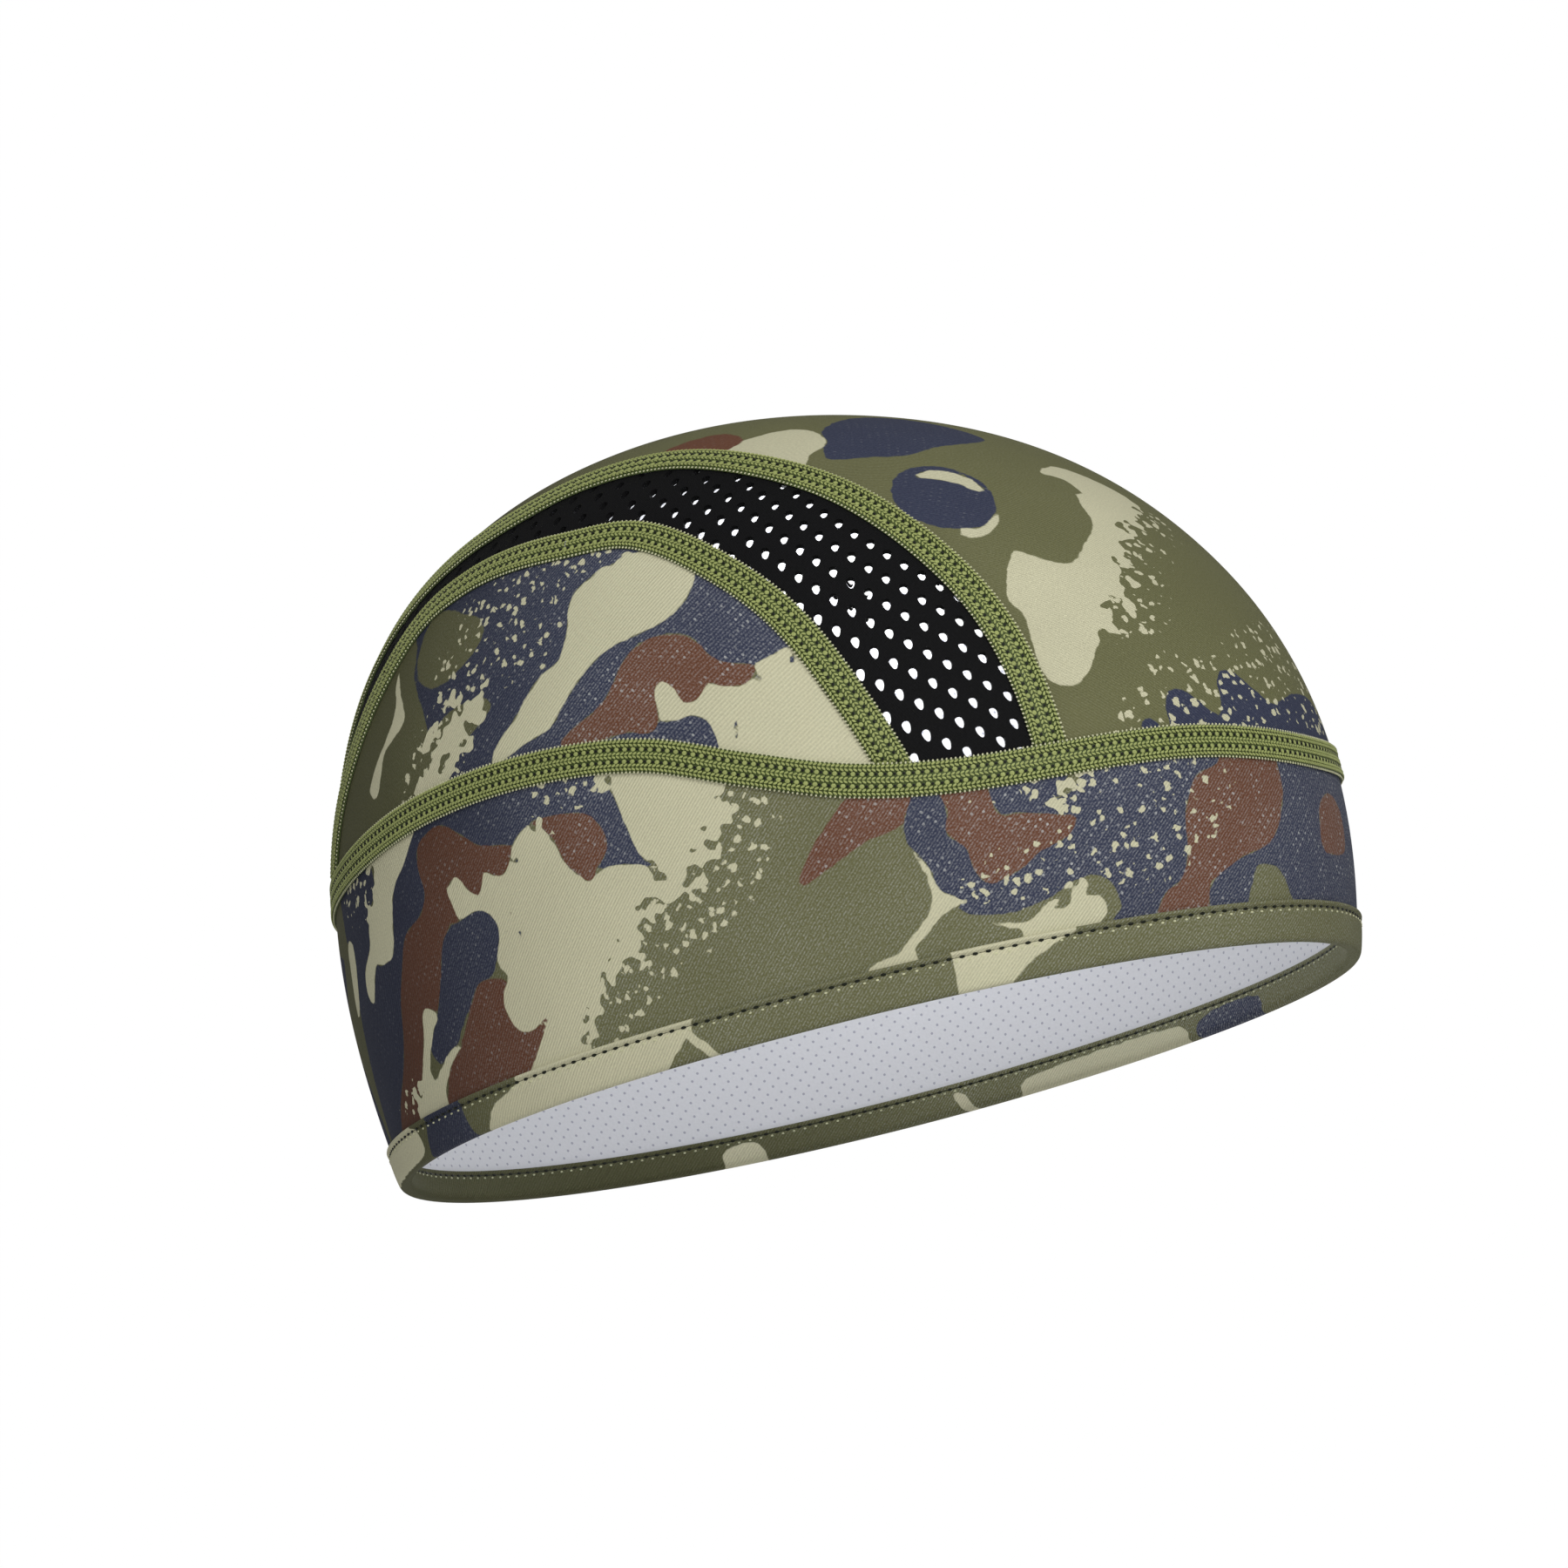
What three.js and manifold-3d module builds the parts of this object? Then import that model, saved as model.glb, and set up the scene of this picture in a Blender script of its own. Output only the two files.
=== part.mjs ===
// Close-fitting cycling skull cap, sewn from stretch panels with flat seams and a bound rim.
// Millimetres, +Z up, the forehead towards -Y and the wearer's right towards -X.
// The origin is the inside of the crown, where the top of the head bears.
import * as THREE from 'three';
import * as BufferGeometryUtils from 'three/addons/utils/BufferGeometryUtils.js';
import Module from 'manifold-3d';

const wasm = await Module();
wasm.setup();

// Crown form, measured from the centre of the rim with the rim level
const frontReach = 108;
const backReach = 96;
const halfWidth = 80;
const crownHeight = 123;
const frontFullness = 2.27;
const backFullness = 2.69;
const sideFullness = 3.13;
const frontTaper = 9.8;
const backTaper = 6.5;
const taperHeight = 75;
const rimPitch = 13.6;

// Cloth, seams and rim binding
const fabricWall = 1.2;
const clearance = 0.3;
const seamGap = 0.4;
const seamWidth = 6;
const seamWall = 1;
const seamBevel = 0.5;
const bindingWall = 1;
const bindingOuterLeg = 7.2;
const bindingInnerLeg = 5.9;
const bindingRound = 0.6;

// Panel lines: how high the seams stand at their highest
const bandHeight = 58.6;
const sideCrest = 0.803 * crownHeight;
const centreCrest = 0.902 * crownHeight;

// Kite-shaped vent holes of the mesh panels, in staggered rows
const ventLength = 5;
const ventWidth = 3;
const ventPitch = 12;
const ventEndMargin = 14;
const ventStagger = 0.5;
const ventRows = [0.27, 0.5, 0.73];
const ventKite = [
  { ahead: 0.5, aside: 0 },
  { ahead: -0.1, aside: 0.5 },
  { ahead: -0.5, aside: 0 },
  { ahead: -0.1, aside: -0.5 },
];

// Top edge of the lower band: turn is the angle round the head from the forehead,
// rise is a share of bandHeight
const bandLine = [
  { turn: 0, rise: 0.583 },
  { turn: 20, rise: 0.616 },
  { turn: 46, rise: 0.622 },
  { turn: 58, rise: 0.676 },
  { turn: 70, rise: 0.785 },
  { turn: 82, rise: 0.905 },
  { turn: 96, rise: 0.972 },
  { turn: 118, rise: 1 },
  { turn: 150, rise: 0.945 },
  { turn: 180, rise: 0.92 },
];

// Seams of the upper panels: rise is a share of the way from the band's edge to the seam's crest
const sideArc = [
  { turn: 52, rise: 0 },
  { turn: 55.3, rise: 0.225 },
  { turn: 61, rise: 0.52 },
  { turn: 69, rise: 0.735 },
  { turn: 80, rise: 0.915 },
  { turn: 94, rise: 0.975 },
  { turn: 114, rise: 1 },
  { turn: 125, rise: 0.93 },
  { turn: 134, rise: 0.735 },
  { turn: 142, rise: 0.48 },
  { turn: 148, rise: 0.24 },
  { turn: 151.5, rise: 0 },
];
const centreArc = [
  { turn: 35.3, rise: 0 },
  { turn: 36, rise: 0.2 },
  { turn: 37.7, rise: 0.385 },
  { turn: 41, rise: 0.555 },
  { turn: 48.5, rise: 0.76 },
  { turn: 59, rise: 0.888 },
  { turn: 74, rise: 0.978 },
  { turn: 92, rise: 1 },
  { turn: 108, rise: 0.965 },
  { turn: 122, rise: 0.925 },
  { turn: 137, rise: 0.84 },
  { turn: 150, rise: 0.68 },
  { turn: 160, rise: 0.42 },
  { turn: 165, rise: 0 },
];

// How finely the surfaces are divided
const ringSteps = 72;
const bandRows = 4;
const arcSteps = 28;
const sideRows = 5;
const meshRows = 2;
const centreRows = 10;
const footTrim = 0.15;

const radians = THREE.MathUtils.degToRad;
const counted = (count, make) => Array.from({ length: count }, (_, i) => make(i));
const ringTurns = counted(ringSteps, (i) => 360 * i / ringSteps);
const apexLift = 90;
const chartProbe = 0.05;
const weldDistance = 1e-5;

// Section of the crown: a superellipse whose reach and fullness change round the head
function crownSection(turn) {
  const forward = Math.cos(radians(turn));
  const sideways = Math.sin(radians(turn));
  const reach = forward > 0 ? frontReach : backReach;
  const endFullness = forward > 0 ? frontFullness : backFullness;
  return {
    reach: 1 / Math.hypot(forward / reach, sideways / halfWidth),
    fullness: THREE.MathUtils.lerp(sideFullness, endFullness, forward * forward),
    taper: THREE.MathUtils.lerp(backTaper, frontTaper, 0.5 + 0.5 * forward),
  };
}

// Point of the outer surface: lift is the angle up from the centre of the rim
function crownPoint(turn, lift) {
  const { reach, fullness, taper } = crownSection(turn);
  const out = Math.max(Math.cos(radians(lift)), 0);
  const up = Math.sin(radians(lift));
  const size = ((out / reach) ** fullness + (Math.max(up, 0) / crownHeight) ** fullness) ** (-1 / fullness);
  const height = size * up;
  const pull = taper * Math.max(1 - height / taperHeight, 0) ** 2;
  const radius = size * out - pull;
  return new THREE.Vector3(-radius * Math.sin(radians(turn)), -radius * Math.cos(radians(turn)), height);
}

function liftAtHeight(turn, height) {
  const { reach, fullness } = crownSection(turn);
  const out = reach * (1 - (height / crownHeight) ** fullness) ** (1 / fullness);
  return THREE.MathUtils.radToDeg(Math.atan2(height, out));
}

// The crown is charted flat, like a map seen from above: the apex at the centre, the rim a circle
function chart(turn, lift) {
  const away = apexLift - lift;
  return new THREE.Vector2(away * Math.sin(radians(turn)), away * Math.cos(radians(turn)));
}

function chartPoint(spot) {
  const turn = THREE.MathUtils.radToDeg(Math.atan2(spot.x, spot.y));
  return crownPoint(turn, apexLift - spot.length());
}

function surfaceFrame(spot) {
  const [alongX, alongY] = [[chartProbe, 0], [0, chartProbe]].map(([x, y]) => {
    const ahead = chartPoint(new THREE.Vector2(spot.x + x, spot.y + y));
    return ahead.sub(chartPoint(new THREE.Vector2(spot.x - x, spot.y - y)));
  });
  return { point: chartPoint(spot), normal: alongX.cross(alongY).normalize() };
}

function onSurface(spot, depth) {
  const { point, normal } = surfaceFrame(spot);
  return point.addScaledVector(normal, -depth);
}

// Seam lines on the chart
const bandTurns = bandLine.map((row) => row.turn);
const bandRises = bandLine.map((row) => row.rise);
const bandCurve = new THREE.CubicInterpolant(bandTurns, bandRises, 1, new Float32Array(1));
bandCurve.settings = { endingStart: THREE.ZeroSlopeEnding, endingEnd: THREE.ZeroSlopeEnding };

function bandEdgeHeight(turn) {
  const around = Math.abs(THREE.MathUtils.euclideanModulo(turn + 180, 360) - 180);
  return bandHeight * bandCurve.evaluate(around)[0];
}

function bandSpot(turn) {
  return chart(turn, liftAtHeight(turn, bandEdgeHeight(turn)));
}

function arcCurve(rows, crest) {
  return new THREE.SplineCurve(rows.map(({ turn, rise }) => {
    const height = THREE.MathUtils.lerp(bandEdgeHeight(turn), crest, rise);
    return chart(turn, liftAtHeight(turn, height));
  }));
}

const sideCurve = arcCurve(sideArc, sideCrest);
const centreCurve = arcCurve(centreArc, centreCrest);
const sideSeam = sideCurve.getSpacedPoints(arcSteps);
const centreSeam = centreCurve.getSpacedPoints(arcSteps);

function bandStretch(fromTurn, toTurn, steps) {
  return counted(steps + 1, (i) => bandSpot(THREE.MathUtils.lerp(fromTurn, toTurn, i / steps)));
}

// Closed solids from rows of points
function solid(points, triangles) {
  const geometry = new THREE.BufferGeometry();
  geometry.setAttribute('position', new THREE.Float32BufferAttribute(points.flatMap((p) => p.toArray()), 3));
  let volume = 0;
  for (const [a, b, c] of triangles) {
    volume += points[a].dot(points[b].clone().cross(points[c]));
  }
  const facingOut = volume > 0 ? triangles : triangles.map(([a, b, c]) => [a, c, b]);
  geometry.setIndex(facingOut.flat());
  geometry.computeVertexNormals();
  return geometry;
}

// A bar whose section changes from ring to ring; it closes on itself, or its ends are closed
// by strips across the ring, which also suit a thin curved section
function sweep(rings, closed) {
  const sides = rings[0].length;
  const triangles = [];
  const spans = closed ? rings.length : rings.length - 1;
  for (let i = 0; i < spans; i++) {
    const here = i * sides;
    const next = ((i + 1) % rings.length) * sides;
    for (let j = 0; j < sides; j++) {
      const k = (j + 1) % sides;
      triangles.push([here + j, here + k, next + k], [here + j, next + k, next + j]);
    }
  }
  if (!closed) {
    const end = (rings.length - 1) * sides;
    for (let j = 0; j < sides / 2 - 1; j++) {
      const k = sides - 1 - j;
      triangles.push([j, k - 1, j + 1], [j, k, k - 1]);
      triangles.push([end + j, end + j + 1, end + k - 1], [end + j, end + k - 1, end + k]);
    }
  }
  return solid(rings.flat(), triangles);
}

// Panel edges stop short of the seam line, so that neighbours don't touch
function holdBack(edge, inner) {
  edge.addScaledVector(inner.clone().sub(edge).normalize(), seamGap / 2);
}

// A wall of cloth over columns of chart spots; a closed one is a ring that ends in the rim's fold
function panel(columns, closed) {
  const [outer, inner] = [0, fabricWall].map((depth) => {
    const face = columns.map((column) => column.map((spot) => onSurface(spot, depth)));
    if (!closed) {
      face[0].forEach((edge, j) => holdBack(edge, face[1][j]));
      face.at(-1).forEach((edge, j) => holdBack(edge, face.at(-2)[j]));
      face.forEach((column) => holdBack(column[0], column[1]));
    }
    face.forEach((column) => holdBack(column.at(-1), column.at(-2)));
    return face;
  });
  return sweep(outer.map((column, i) => [...column, ...inner[i].reverse()]), closed);
}

function between(lower, upper, rows) {
  return lower.map((spot, i) =>
    counted(rows + 1, (j) => spot.clone().lerp(upper[i], j / rows)));
}

// Raised strip of a flat seam, laid over the line where two panels meet
const stripSection = [
  { aside: -seamWidth / 2, above: clearance },
  { aside: seamWidth / 2, above: clearance },
  { aside: seamWidth / 2 - seamBevel, above: clearance + seamWall },
  { aside: seamBevel - seamWidth / 2, above: clearance + seamWall },
];
const roomHalf = seamWidth / 2 + clearance;
const stripRoom = [
  { aside: -roomHalf, above: -seamWall },
  { aside: roomHalf, above: -seamWall },
  { aside: roomHalf, above: clearance + 2 * seamWall },
  { aside: -roomHalf, above: clearance + 2 * seamWall },
];

function alongSeam(spots, section, closed) {
  const frames = spots.map(surfaceFrame);
  const count = frames.length;
  return sweep(frames.map(({ point, normal }, i) => {
    const before = frames[closed ? (i + count - 1) % count : Math.max(i - 1, 0)].point;
    const after = frames[closed ? (i + 1) % count : Math.min(i + 1, count - 1)].point;
    const across = normal.clone().cross(after.clone().sub(before)).normalize();
    return section.map(({ aside, above }) =>
      point.clone().addScaledVector(across, aside).addScaledVector(normal, above));
  }), closed);
}

// Joining and cutting of closed solids
function manifoldOf(geometry) {
  const bare = geometry.clone();
  bare.deleteAttribute('normal');
  bare.deleteAttribute('uv');
  const merged = BufferGeometryUtils.mergeVertices(bare, weldDistance);
  return new wasm.Manifold(new wasm.Mesh({
    numProp: 3,
    vertProperties: new Float32Array(merged.attributes.position.array),
    triVerts: new Uint32Array(merged.index.array),
  }));
}

function cutFrom(geometry, tool) {
  const mesh = manifoldOf(geometry).subtract(manifoldOf(tool)).getMesh();
  const result = new THREE.BufferGeometry();
  result.setAttribute('position', new THREE.BufferAttribute(new Float32Array(mesh.vertProperties), 3));
  result.setIndex(new THREE.BufferAttribute(new Uint32Array(mesh.triVerts), 1));
  result.computeVertexNormals();
  return result;
}

function mirrored(geometry) {
  const copy = geometry.clone();
  copy.scale(-1, 1, 1);
  const index = Array.from(copy.index.array);
  for (let i = 0; i < index.length; i += 3) {
    [index[i], index[i + 1]] = [index[i + 1], index[i]];
  }
  copy.setIndex(index);
  copy.computeVertexNormals();
  return copy;
}

// Lower band: one ring of cloth from inside the binding's fold up to the band seam
function lowerBand() {
  const foldHeight = bindingWall + clearance;
  return panel(ringTurns.map((turn) => counted(bandRows + 1, (j) => {
    const height = THREE.MathUtils.lerp(foldHeight, bandEdgeHeight(turn), j / bandRows);
    return chart(turn, liftAtHeight(turn, height));
  })), true);
}

// Rim binding: a strip folded round the band's lower edge, its outer leg longer than its inner one
function edgeBinding() {
  const outside = -(clearance + bindingWall);
  const inside = fabricWall + clearance + bindingWall;
  const section = [
    { depth: outside, height: bindingOuterLeg },
    { depth: outside, height: bindingRound },
    { depth: outside + bindingRound, height: 0 },
    { depth: inside - bindingRound, height: 0 },
    { depth: inside, height: bindingRound },
    { depth: inside, height: bindingInnerLeg },
    { depth: fabricWall + clearance, height: bindingInnerLeg },
    { depth: fabricWall + clearance, height: bindingWall },
    { depth: -clearance, height: bindingWall },
    { depth: -clearance, height: bindingOuterLeg },
  ];
  return sweep(ringTurns.map((turn) =>
    section.map(({ depth, height }) => onSurface(chart(turn, liftAtHeight(turn, height)), depth))), true);
}

// Side panel: a tall arch over the ear, its two feet cut off blunt
function sidePanel() {
  const steps = counted(arcSteps + 1, (i) => i);
  steps[0] = footTrim;
  steps[arcSteps] = arcSteps - footTrim;
  const turnAt = (share) => THREE.MathUtils.lerp(sideArc[0].turn, sideArc.at(-1).turn, share);
  const lower = steps.map((step) => bandSpot(turnAt(step / arcSteps)));
  const upper = steps.map((step) => sideCurve.getPointAt(step / arcSteps));
  return panel(between(lower, upper, sideRows), false);
}

// Centre panel: from the forehead over the crown to the nape, blended between its four edges
function centrePanel() {
  const right = centreSeam;
  const left = right.map((spot) => new THREE.Vector2(-spot.x, spot.y));
  const frontTurn = centreArc[0].turn;
  const backTurn = centreArc.at(-1).turn;
  const front = bandStretch(frontTurn, -frontTurn, centreRows);
  const back = bandStretch(backTurn, 360 - backTurn, centreRows);
  return panel(right.map((spot, i) => front.map((frontSpot, j) => {
    const along = i / arcSteps;
    const across = j / centreRows;
    const byEnds = frontSpot.clone().lerp(back[j], along);
    const bySides = spot.clone().lerp(left[i], across);
    const frontCorners = front[0].clone().lerp(front[centreRows], across);
    const backCorners = back[0].clone().lerp(back[centreRows], across);
    return byEnds.add(bySides).sub(frontCorners.lerp(backCorners, along));
  })), false);
}

// Mesh panel: a curved strip between the two arcs, pierced with vents
function meshPanel() {
  return cutFrom(panel(between(sideSeam, centreSeam, meshRows), false), ventCutters());
}

function meshSpot(along, across) {
  return sideCurve.getPointAt(along).lerp(centreCurve.getPointAt(along), across);
}

function ventCutters() {
  let length = 0;
  for (let i = 0; i < arcSteps; i++) {
    const here = chartPoint(meshSpot(i / arcSteps, 0.5));
    length += here.distanceTo(chartPoint(meshSpot((i + 1) / arcSteps, 0.5)));
  }
  const count = Math.floor((length - 2 * ventEndMargin) / ventPitch);
  const cutters = ventRows.flatMap((across, row) => counted(count, (i) => {
    const place = ventEndMargin + ventPitch * (i + (row % 2) * ventStagger);
    return ventCutter(place / length, across, ventLength / length);
  }));
  return BufferGeometryUtils.mergeGeometries(cutters);
}

function ventCutter(along, across, aheadShare) {
  const { point, normal } = surfaceFrame(meshSpot(along, across));
  const forward = chartPoint(meshSpot(along + aheadShare, across)).sub(point).normalize();
  const sideways = normal.clone().cross(forward).normalize();
  return sweep([fabricWall, -2 * fabricWall].map((above) => ventKite.map(({ ahead, aside }) =>
    point.clone()
      .addScaledVector(forward, ahead * ventLength)
      .addScaledVector(sideways, aside * ventWidth)
      .addScaledVector(normal, above))), false);
}

// Seam strips: a ring over the band's top edge, and arcs that end against it
const bandSpots = ringTurns.map(bandSpot);
const bandRoom = alongSeam(bandSpots, stripRoom, true);
const bandStrip = alongSeam(bandSpots, stripSection, true);
const sideStrip = cutFrom(alongSeam(sideSeam, stripSection, false), bandRoom);
const centreStrip = cutFrom(alongSeam(centreSeam, stripSection, false), bandRoom);

const printedCloth = new THREE.MeshStandardMaterial({ color: 0x5f6146, roughness: 0.85, metalness: 0 });
const paleCloth = new THREE.MeshStandardMaterial({ color: 0x8d8f70, roughness: 0.85, metalness: 0 });
const blackMesh = new THREE.MeshStandardMaterial({ color: 0x0f0f12, roughness: 0.8, metalness: 0 });
const boundEdge = new THREE.MeshStandardMaterial({ color: 0x6c6b4c, roughness: 0.8, metalness: 0 });
const greenThread = new THREE.MeshStandardMaterial({ color: 0x7d9146, roughness: 0.6, metalness: 0 });

const cap = new THREE.Group();

function addPiece(name, geometry, material) {
  const mesh = new THREE.Mesh(geometry, material.clone());
  mesh.name = name;
  cap.add(mesh);
}

function addPair(name, geometry, material) {
  addPiece(`${name}_right`, geometry, material);
  addPiece(`${name}_left`, mirrored(geometry), material);
}

addPiece('lower_band', lowerBand(), printedCloth);
addPiece('edge_binding', edgeBinding(), boundEdge);
addPiece('centre_panel', centrePanel(), printedCloth);
addPair('side_panel', sidePanel(), paleCloth);
addPair('mesh_panel', meshPanel(), blackMesh);
addPiece('band_seam', bandStrip, greenThread);
addPair('inner_mesh_seam', sideStrip, greenThread);
addPair('outer_mesh_seam', centreStrip, greenThread);

// The rim tips up at the forehead, and the highest point inside the crown becomes the origin
cap.rotation.x = -radians(rimPitch);
const seatSearchStart = 45;
const seatSearchStep = 0.25;
let seat = new THREE.Vector3(0, 0, -Infinity);
for (let lift = seatSearchStart; lift < apexLift; lift += seatSearchStep) {
  const inside = onSurface(chart(0, lift), fabricWall).applyEuler(cap.rotation);
  seat = inside.z > seat.z ? inside : seat;
}
cap.position.copy(seat).negate();

const skullCap = new THREE.Group();
skullCap.add(cap);

export default skullCap;
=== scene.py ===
# Cycling skull cap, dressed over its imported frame: printed stretch panels, open mesh strips,
# flat-lock seams and a bound rim, worn as on a head but with no head in it.
import math

import bpy
import numpy as np
from mathutils import Matrix


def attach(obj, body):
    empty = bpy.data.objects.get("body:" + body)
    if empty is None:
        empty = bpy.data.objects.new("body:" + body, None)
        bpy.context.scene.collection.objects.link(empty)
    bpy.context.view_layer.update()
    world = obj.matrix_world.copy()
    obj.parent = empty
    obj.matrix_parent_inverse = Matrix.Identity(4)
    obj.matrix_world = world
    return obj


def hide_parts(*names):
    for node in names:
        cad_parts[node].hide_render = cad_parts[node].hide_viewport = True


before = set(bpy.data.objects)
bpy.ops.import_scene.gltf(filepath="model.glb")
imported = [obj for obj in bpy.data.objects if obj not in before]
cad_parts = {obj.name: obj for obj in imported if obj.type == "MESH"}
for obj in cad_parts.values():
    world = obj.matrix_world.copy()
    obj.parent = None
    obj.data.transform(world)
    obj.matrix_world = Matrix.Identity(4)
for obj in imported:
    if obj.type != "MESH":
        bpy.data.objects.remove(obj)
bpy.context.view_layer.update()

# Lower band
# One ring of printed stretch knit round the head, higher over the ears and the nape than at the
# forehead. Its lower edge lies in the rim binding, its upper edge is flat-locked to the panels.
# The sizes and the form of the whole crown come first, as every piece is laid on it.
mm = 0.001
front_reach = 108 * mm
back_reach = 96 * mm
half_width = 80 * mm
crown_height = 123 * mm
front_fullness = 2.27
back_fullness = 2.69
side_fullness = 3.13
front_taper = 9.8 * mm
back_taper = 6.5 * mm
taper_height = 75 * mm
rim_pitch = math.radians(13.6)
cloth_wall = 1.2 * mm
seam_gap = 0.4 * mm
weld_gap = 0.01 * mm
band_height = 58.6 * mm
band_foot = 1.3 * mm
band_columns = 600
band_rows = 60
girth_height = 25 * mm
band_line = [(0, 0.583), (20, 0.616), (46, 0.622), (58, 0.676), (70, 0.785), (82, 0.905),
             (96, 0.972), (118, 1), (150, 0.945), (180, 0.92)]


def crown_section(turn):
    """How far the crown reaches and how full it is, at a turn round the head from the forehead."""
    forward, sideways = np.cos(np.radians(turn)), np.sin(np.radians(turn))
    reach = 1 / np.hypot(forward / np.where(forward > 0, front_reach, back_reach), sideways / half_width)
    end_fullness = np.where(forward > 0, front_fullness, back_fullness)
    return forward, sideways, reach, side_fullness + (end_fullness - side_fullness) * forward ** 2


def crown_point(turn, lift):
    """Outside of the crown before the rim is tipped, at a turn round the head and a lift from the rim."""
    forward, sideways, reach, fullness = crown_section(turn)
    lift = np.radians(lift)
    taper = back_taper + (front_taper - back_taper) * (0.5 + 0.5 * forward)
    out, up = np.maximum(np.cos(lift), 0), np.maximum(np.sin(lift), 0)
    size = ((out / reach) ** fullness + (up / crown_height) ** fullness) ** (-1 / fullness)
    height = size * up
    radius = size * out - taper * np.maximum(1 - height / taper_height, 0) ** 2
    return np.stack([-radius * sideways, -radius * forward, height], -1)


def lift_at(turn, height):
    *_, reach, fullness = crown_section(turn)
    out = reach * (1 - (height / crown_height) ** fullness) ** (1 / fullness)
    return np.degrees(np.arctan2(height, out))


def chart(turn, lift):
    """The crown charted flat, like a map seen from above, in degrees from the apex."""
    away = 90 - np.asarray(lift)
    return np.stack([away * np.sin(np.radians(turn)), away * np.cos(np.radians(turn))], -1)


def at_height(turn, height):
    return chart(turn, lift_at(turn, height))


def chart_point(spot):
    across, forward = np.moveaxis(spot, -1, 0)
    return crown_point(np.degrees(np.arctan2(across, forward)), 90 - np.hypot(across, forward))


def unit(vectors):
    return vectors / np.linalg.norm(vectors, axis=-1, keepdims=True)


def tipped(vectors):
    """The rim tips up at the forehead."""
    x, y, z = np.moveaxis(vectors, -1, 0)
    cosine, sine = math.cos(rim_pitch), math.sin(rim_pitch)
    return np.stack([x, y * cosine + z * sine, z * cosine - y * sine], -1)


def crown_normal(spot, probe=0.05):
    across = chart_point(spot + [probe, 0]) - chart_point(spot - [probe, 0])
    along = chart_point(spot + [0, probe]) - chart_point(spot - [0, probe])
    return tipped(unit(np.cross(across, along)))


forehead_line = chart(0, np.arange(45, 90, 0.25))
inside_line = tipped(chart_point(forehead_line)) - crown_normal(forehead_line) * cloth_wall
seat = inside_line[inside_line[:, 2].argmax()]


def on_cap(spot, depth=0.0):
    """Where a chart spot lies on the worn cap, at a depth below the outside of the cloth."""
    return tipped(chart_point(spot)) - seat - crown_normal(spot) * np.asarray(depth)[..., None]


def eased(table, at):
    """A smooth curve through a table, level at both ends."""
    x, y = np.array(table, float).T
    slope = np.diff(y) / np.diff(x)
    lean = np.concatenate([[0], (slope[1:] + slope[:-1]) / 2, [0]])
    i = np.clip(np.searchsorted(x, at, side="right") - 1, 0, len(x) - 2)
    span = x[i + 1] - x[i]
    t = (at - x[i]) / span
    start = (2 * t ** 3 - 3 * t ** 2 + 1) * y[i] + (t ** 3 - 2 * t ** 2 + t) * span * lean[i]
    return start + (3 * t ** 2 - 2 * t ** 3) * y[i + 1] + (t ** 3 - t ** 2) * span * lean[i + 1]


def band_edge(turn):
    return band_height * eased(band_line, np.abs((np.asarray(turn, float) + 180) % 360 - 180))


def travelled(points):
    """Distance run along each line of points."""
    steps = np.linalg.norm(np.diff(points, axis=0), axis=-1)
    return np.concatenate([np.zeros((1, *steps.shape[1:])), np.cumsum(steps, axis=0)])


# The print is charted as dyed shapes: the band's in degrees round the head and
# millimetres above the rim. Dyes are laid one over another on olive cloth, as on the printing table.
dyes = ("navy", "brown", "cream", "flecks")
far_off = 8.0
band_repeat = 180

# How many millimetres of cloth a degree of each chart is.
band_degree = 1.5
chart_degree = 1.6

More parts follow.
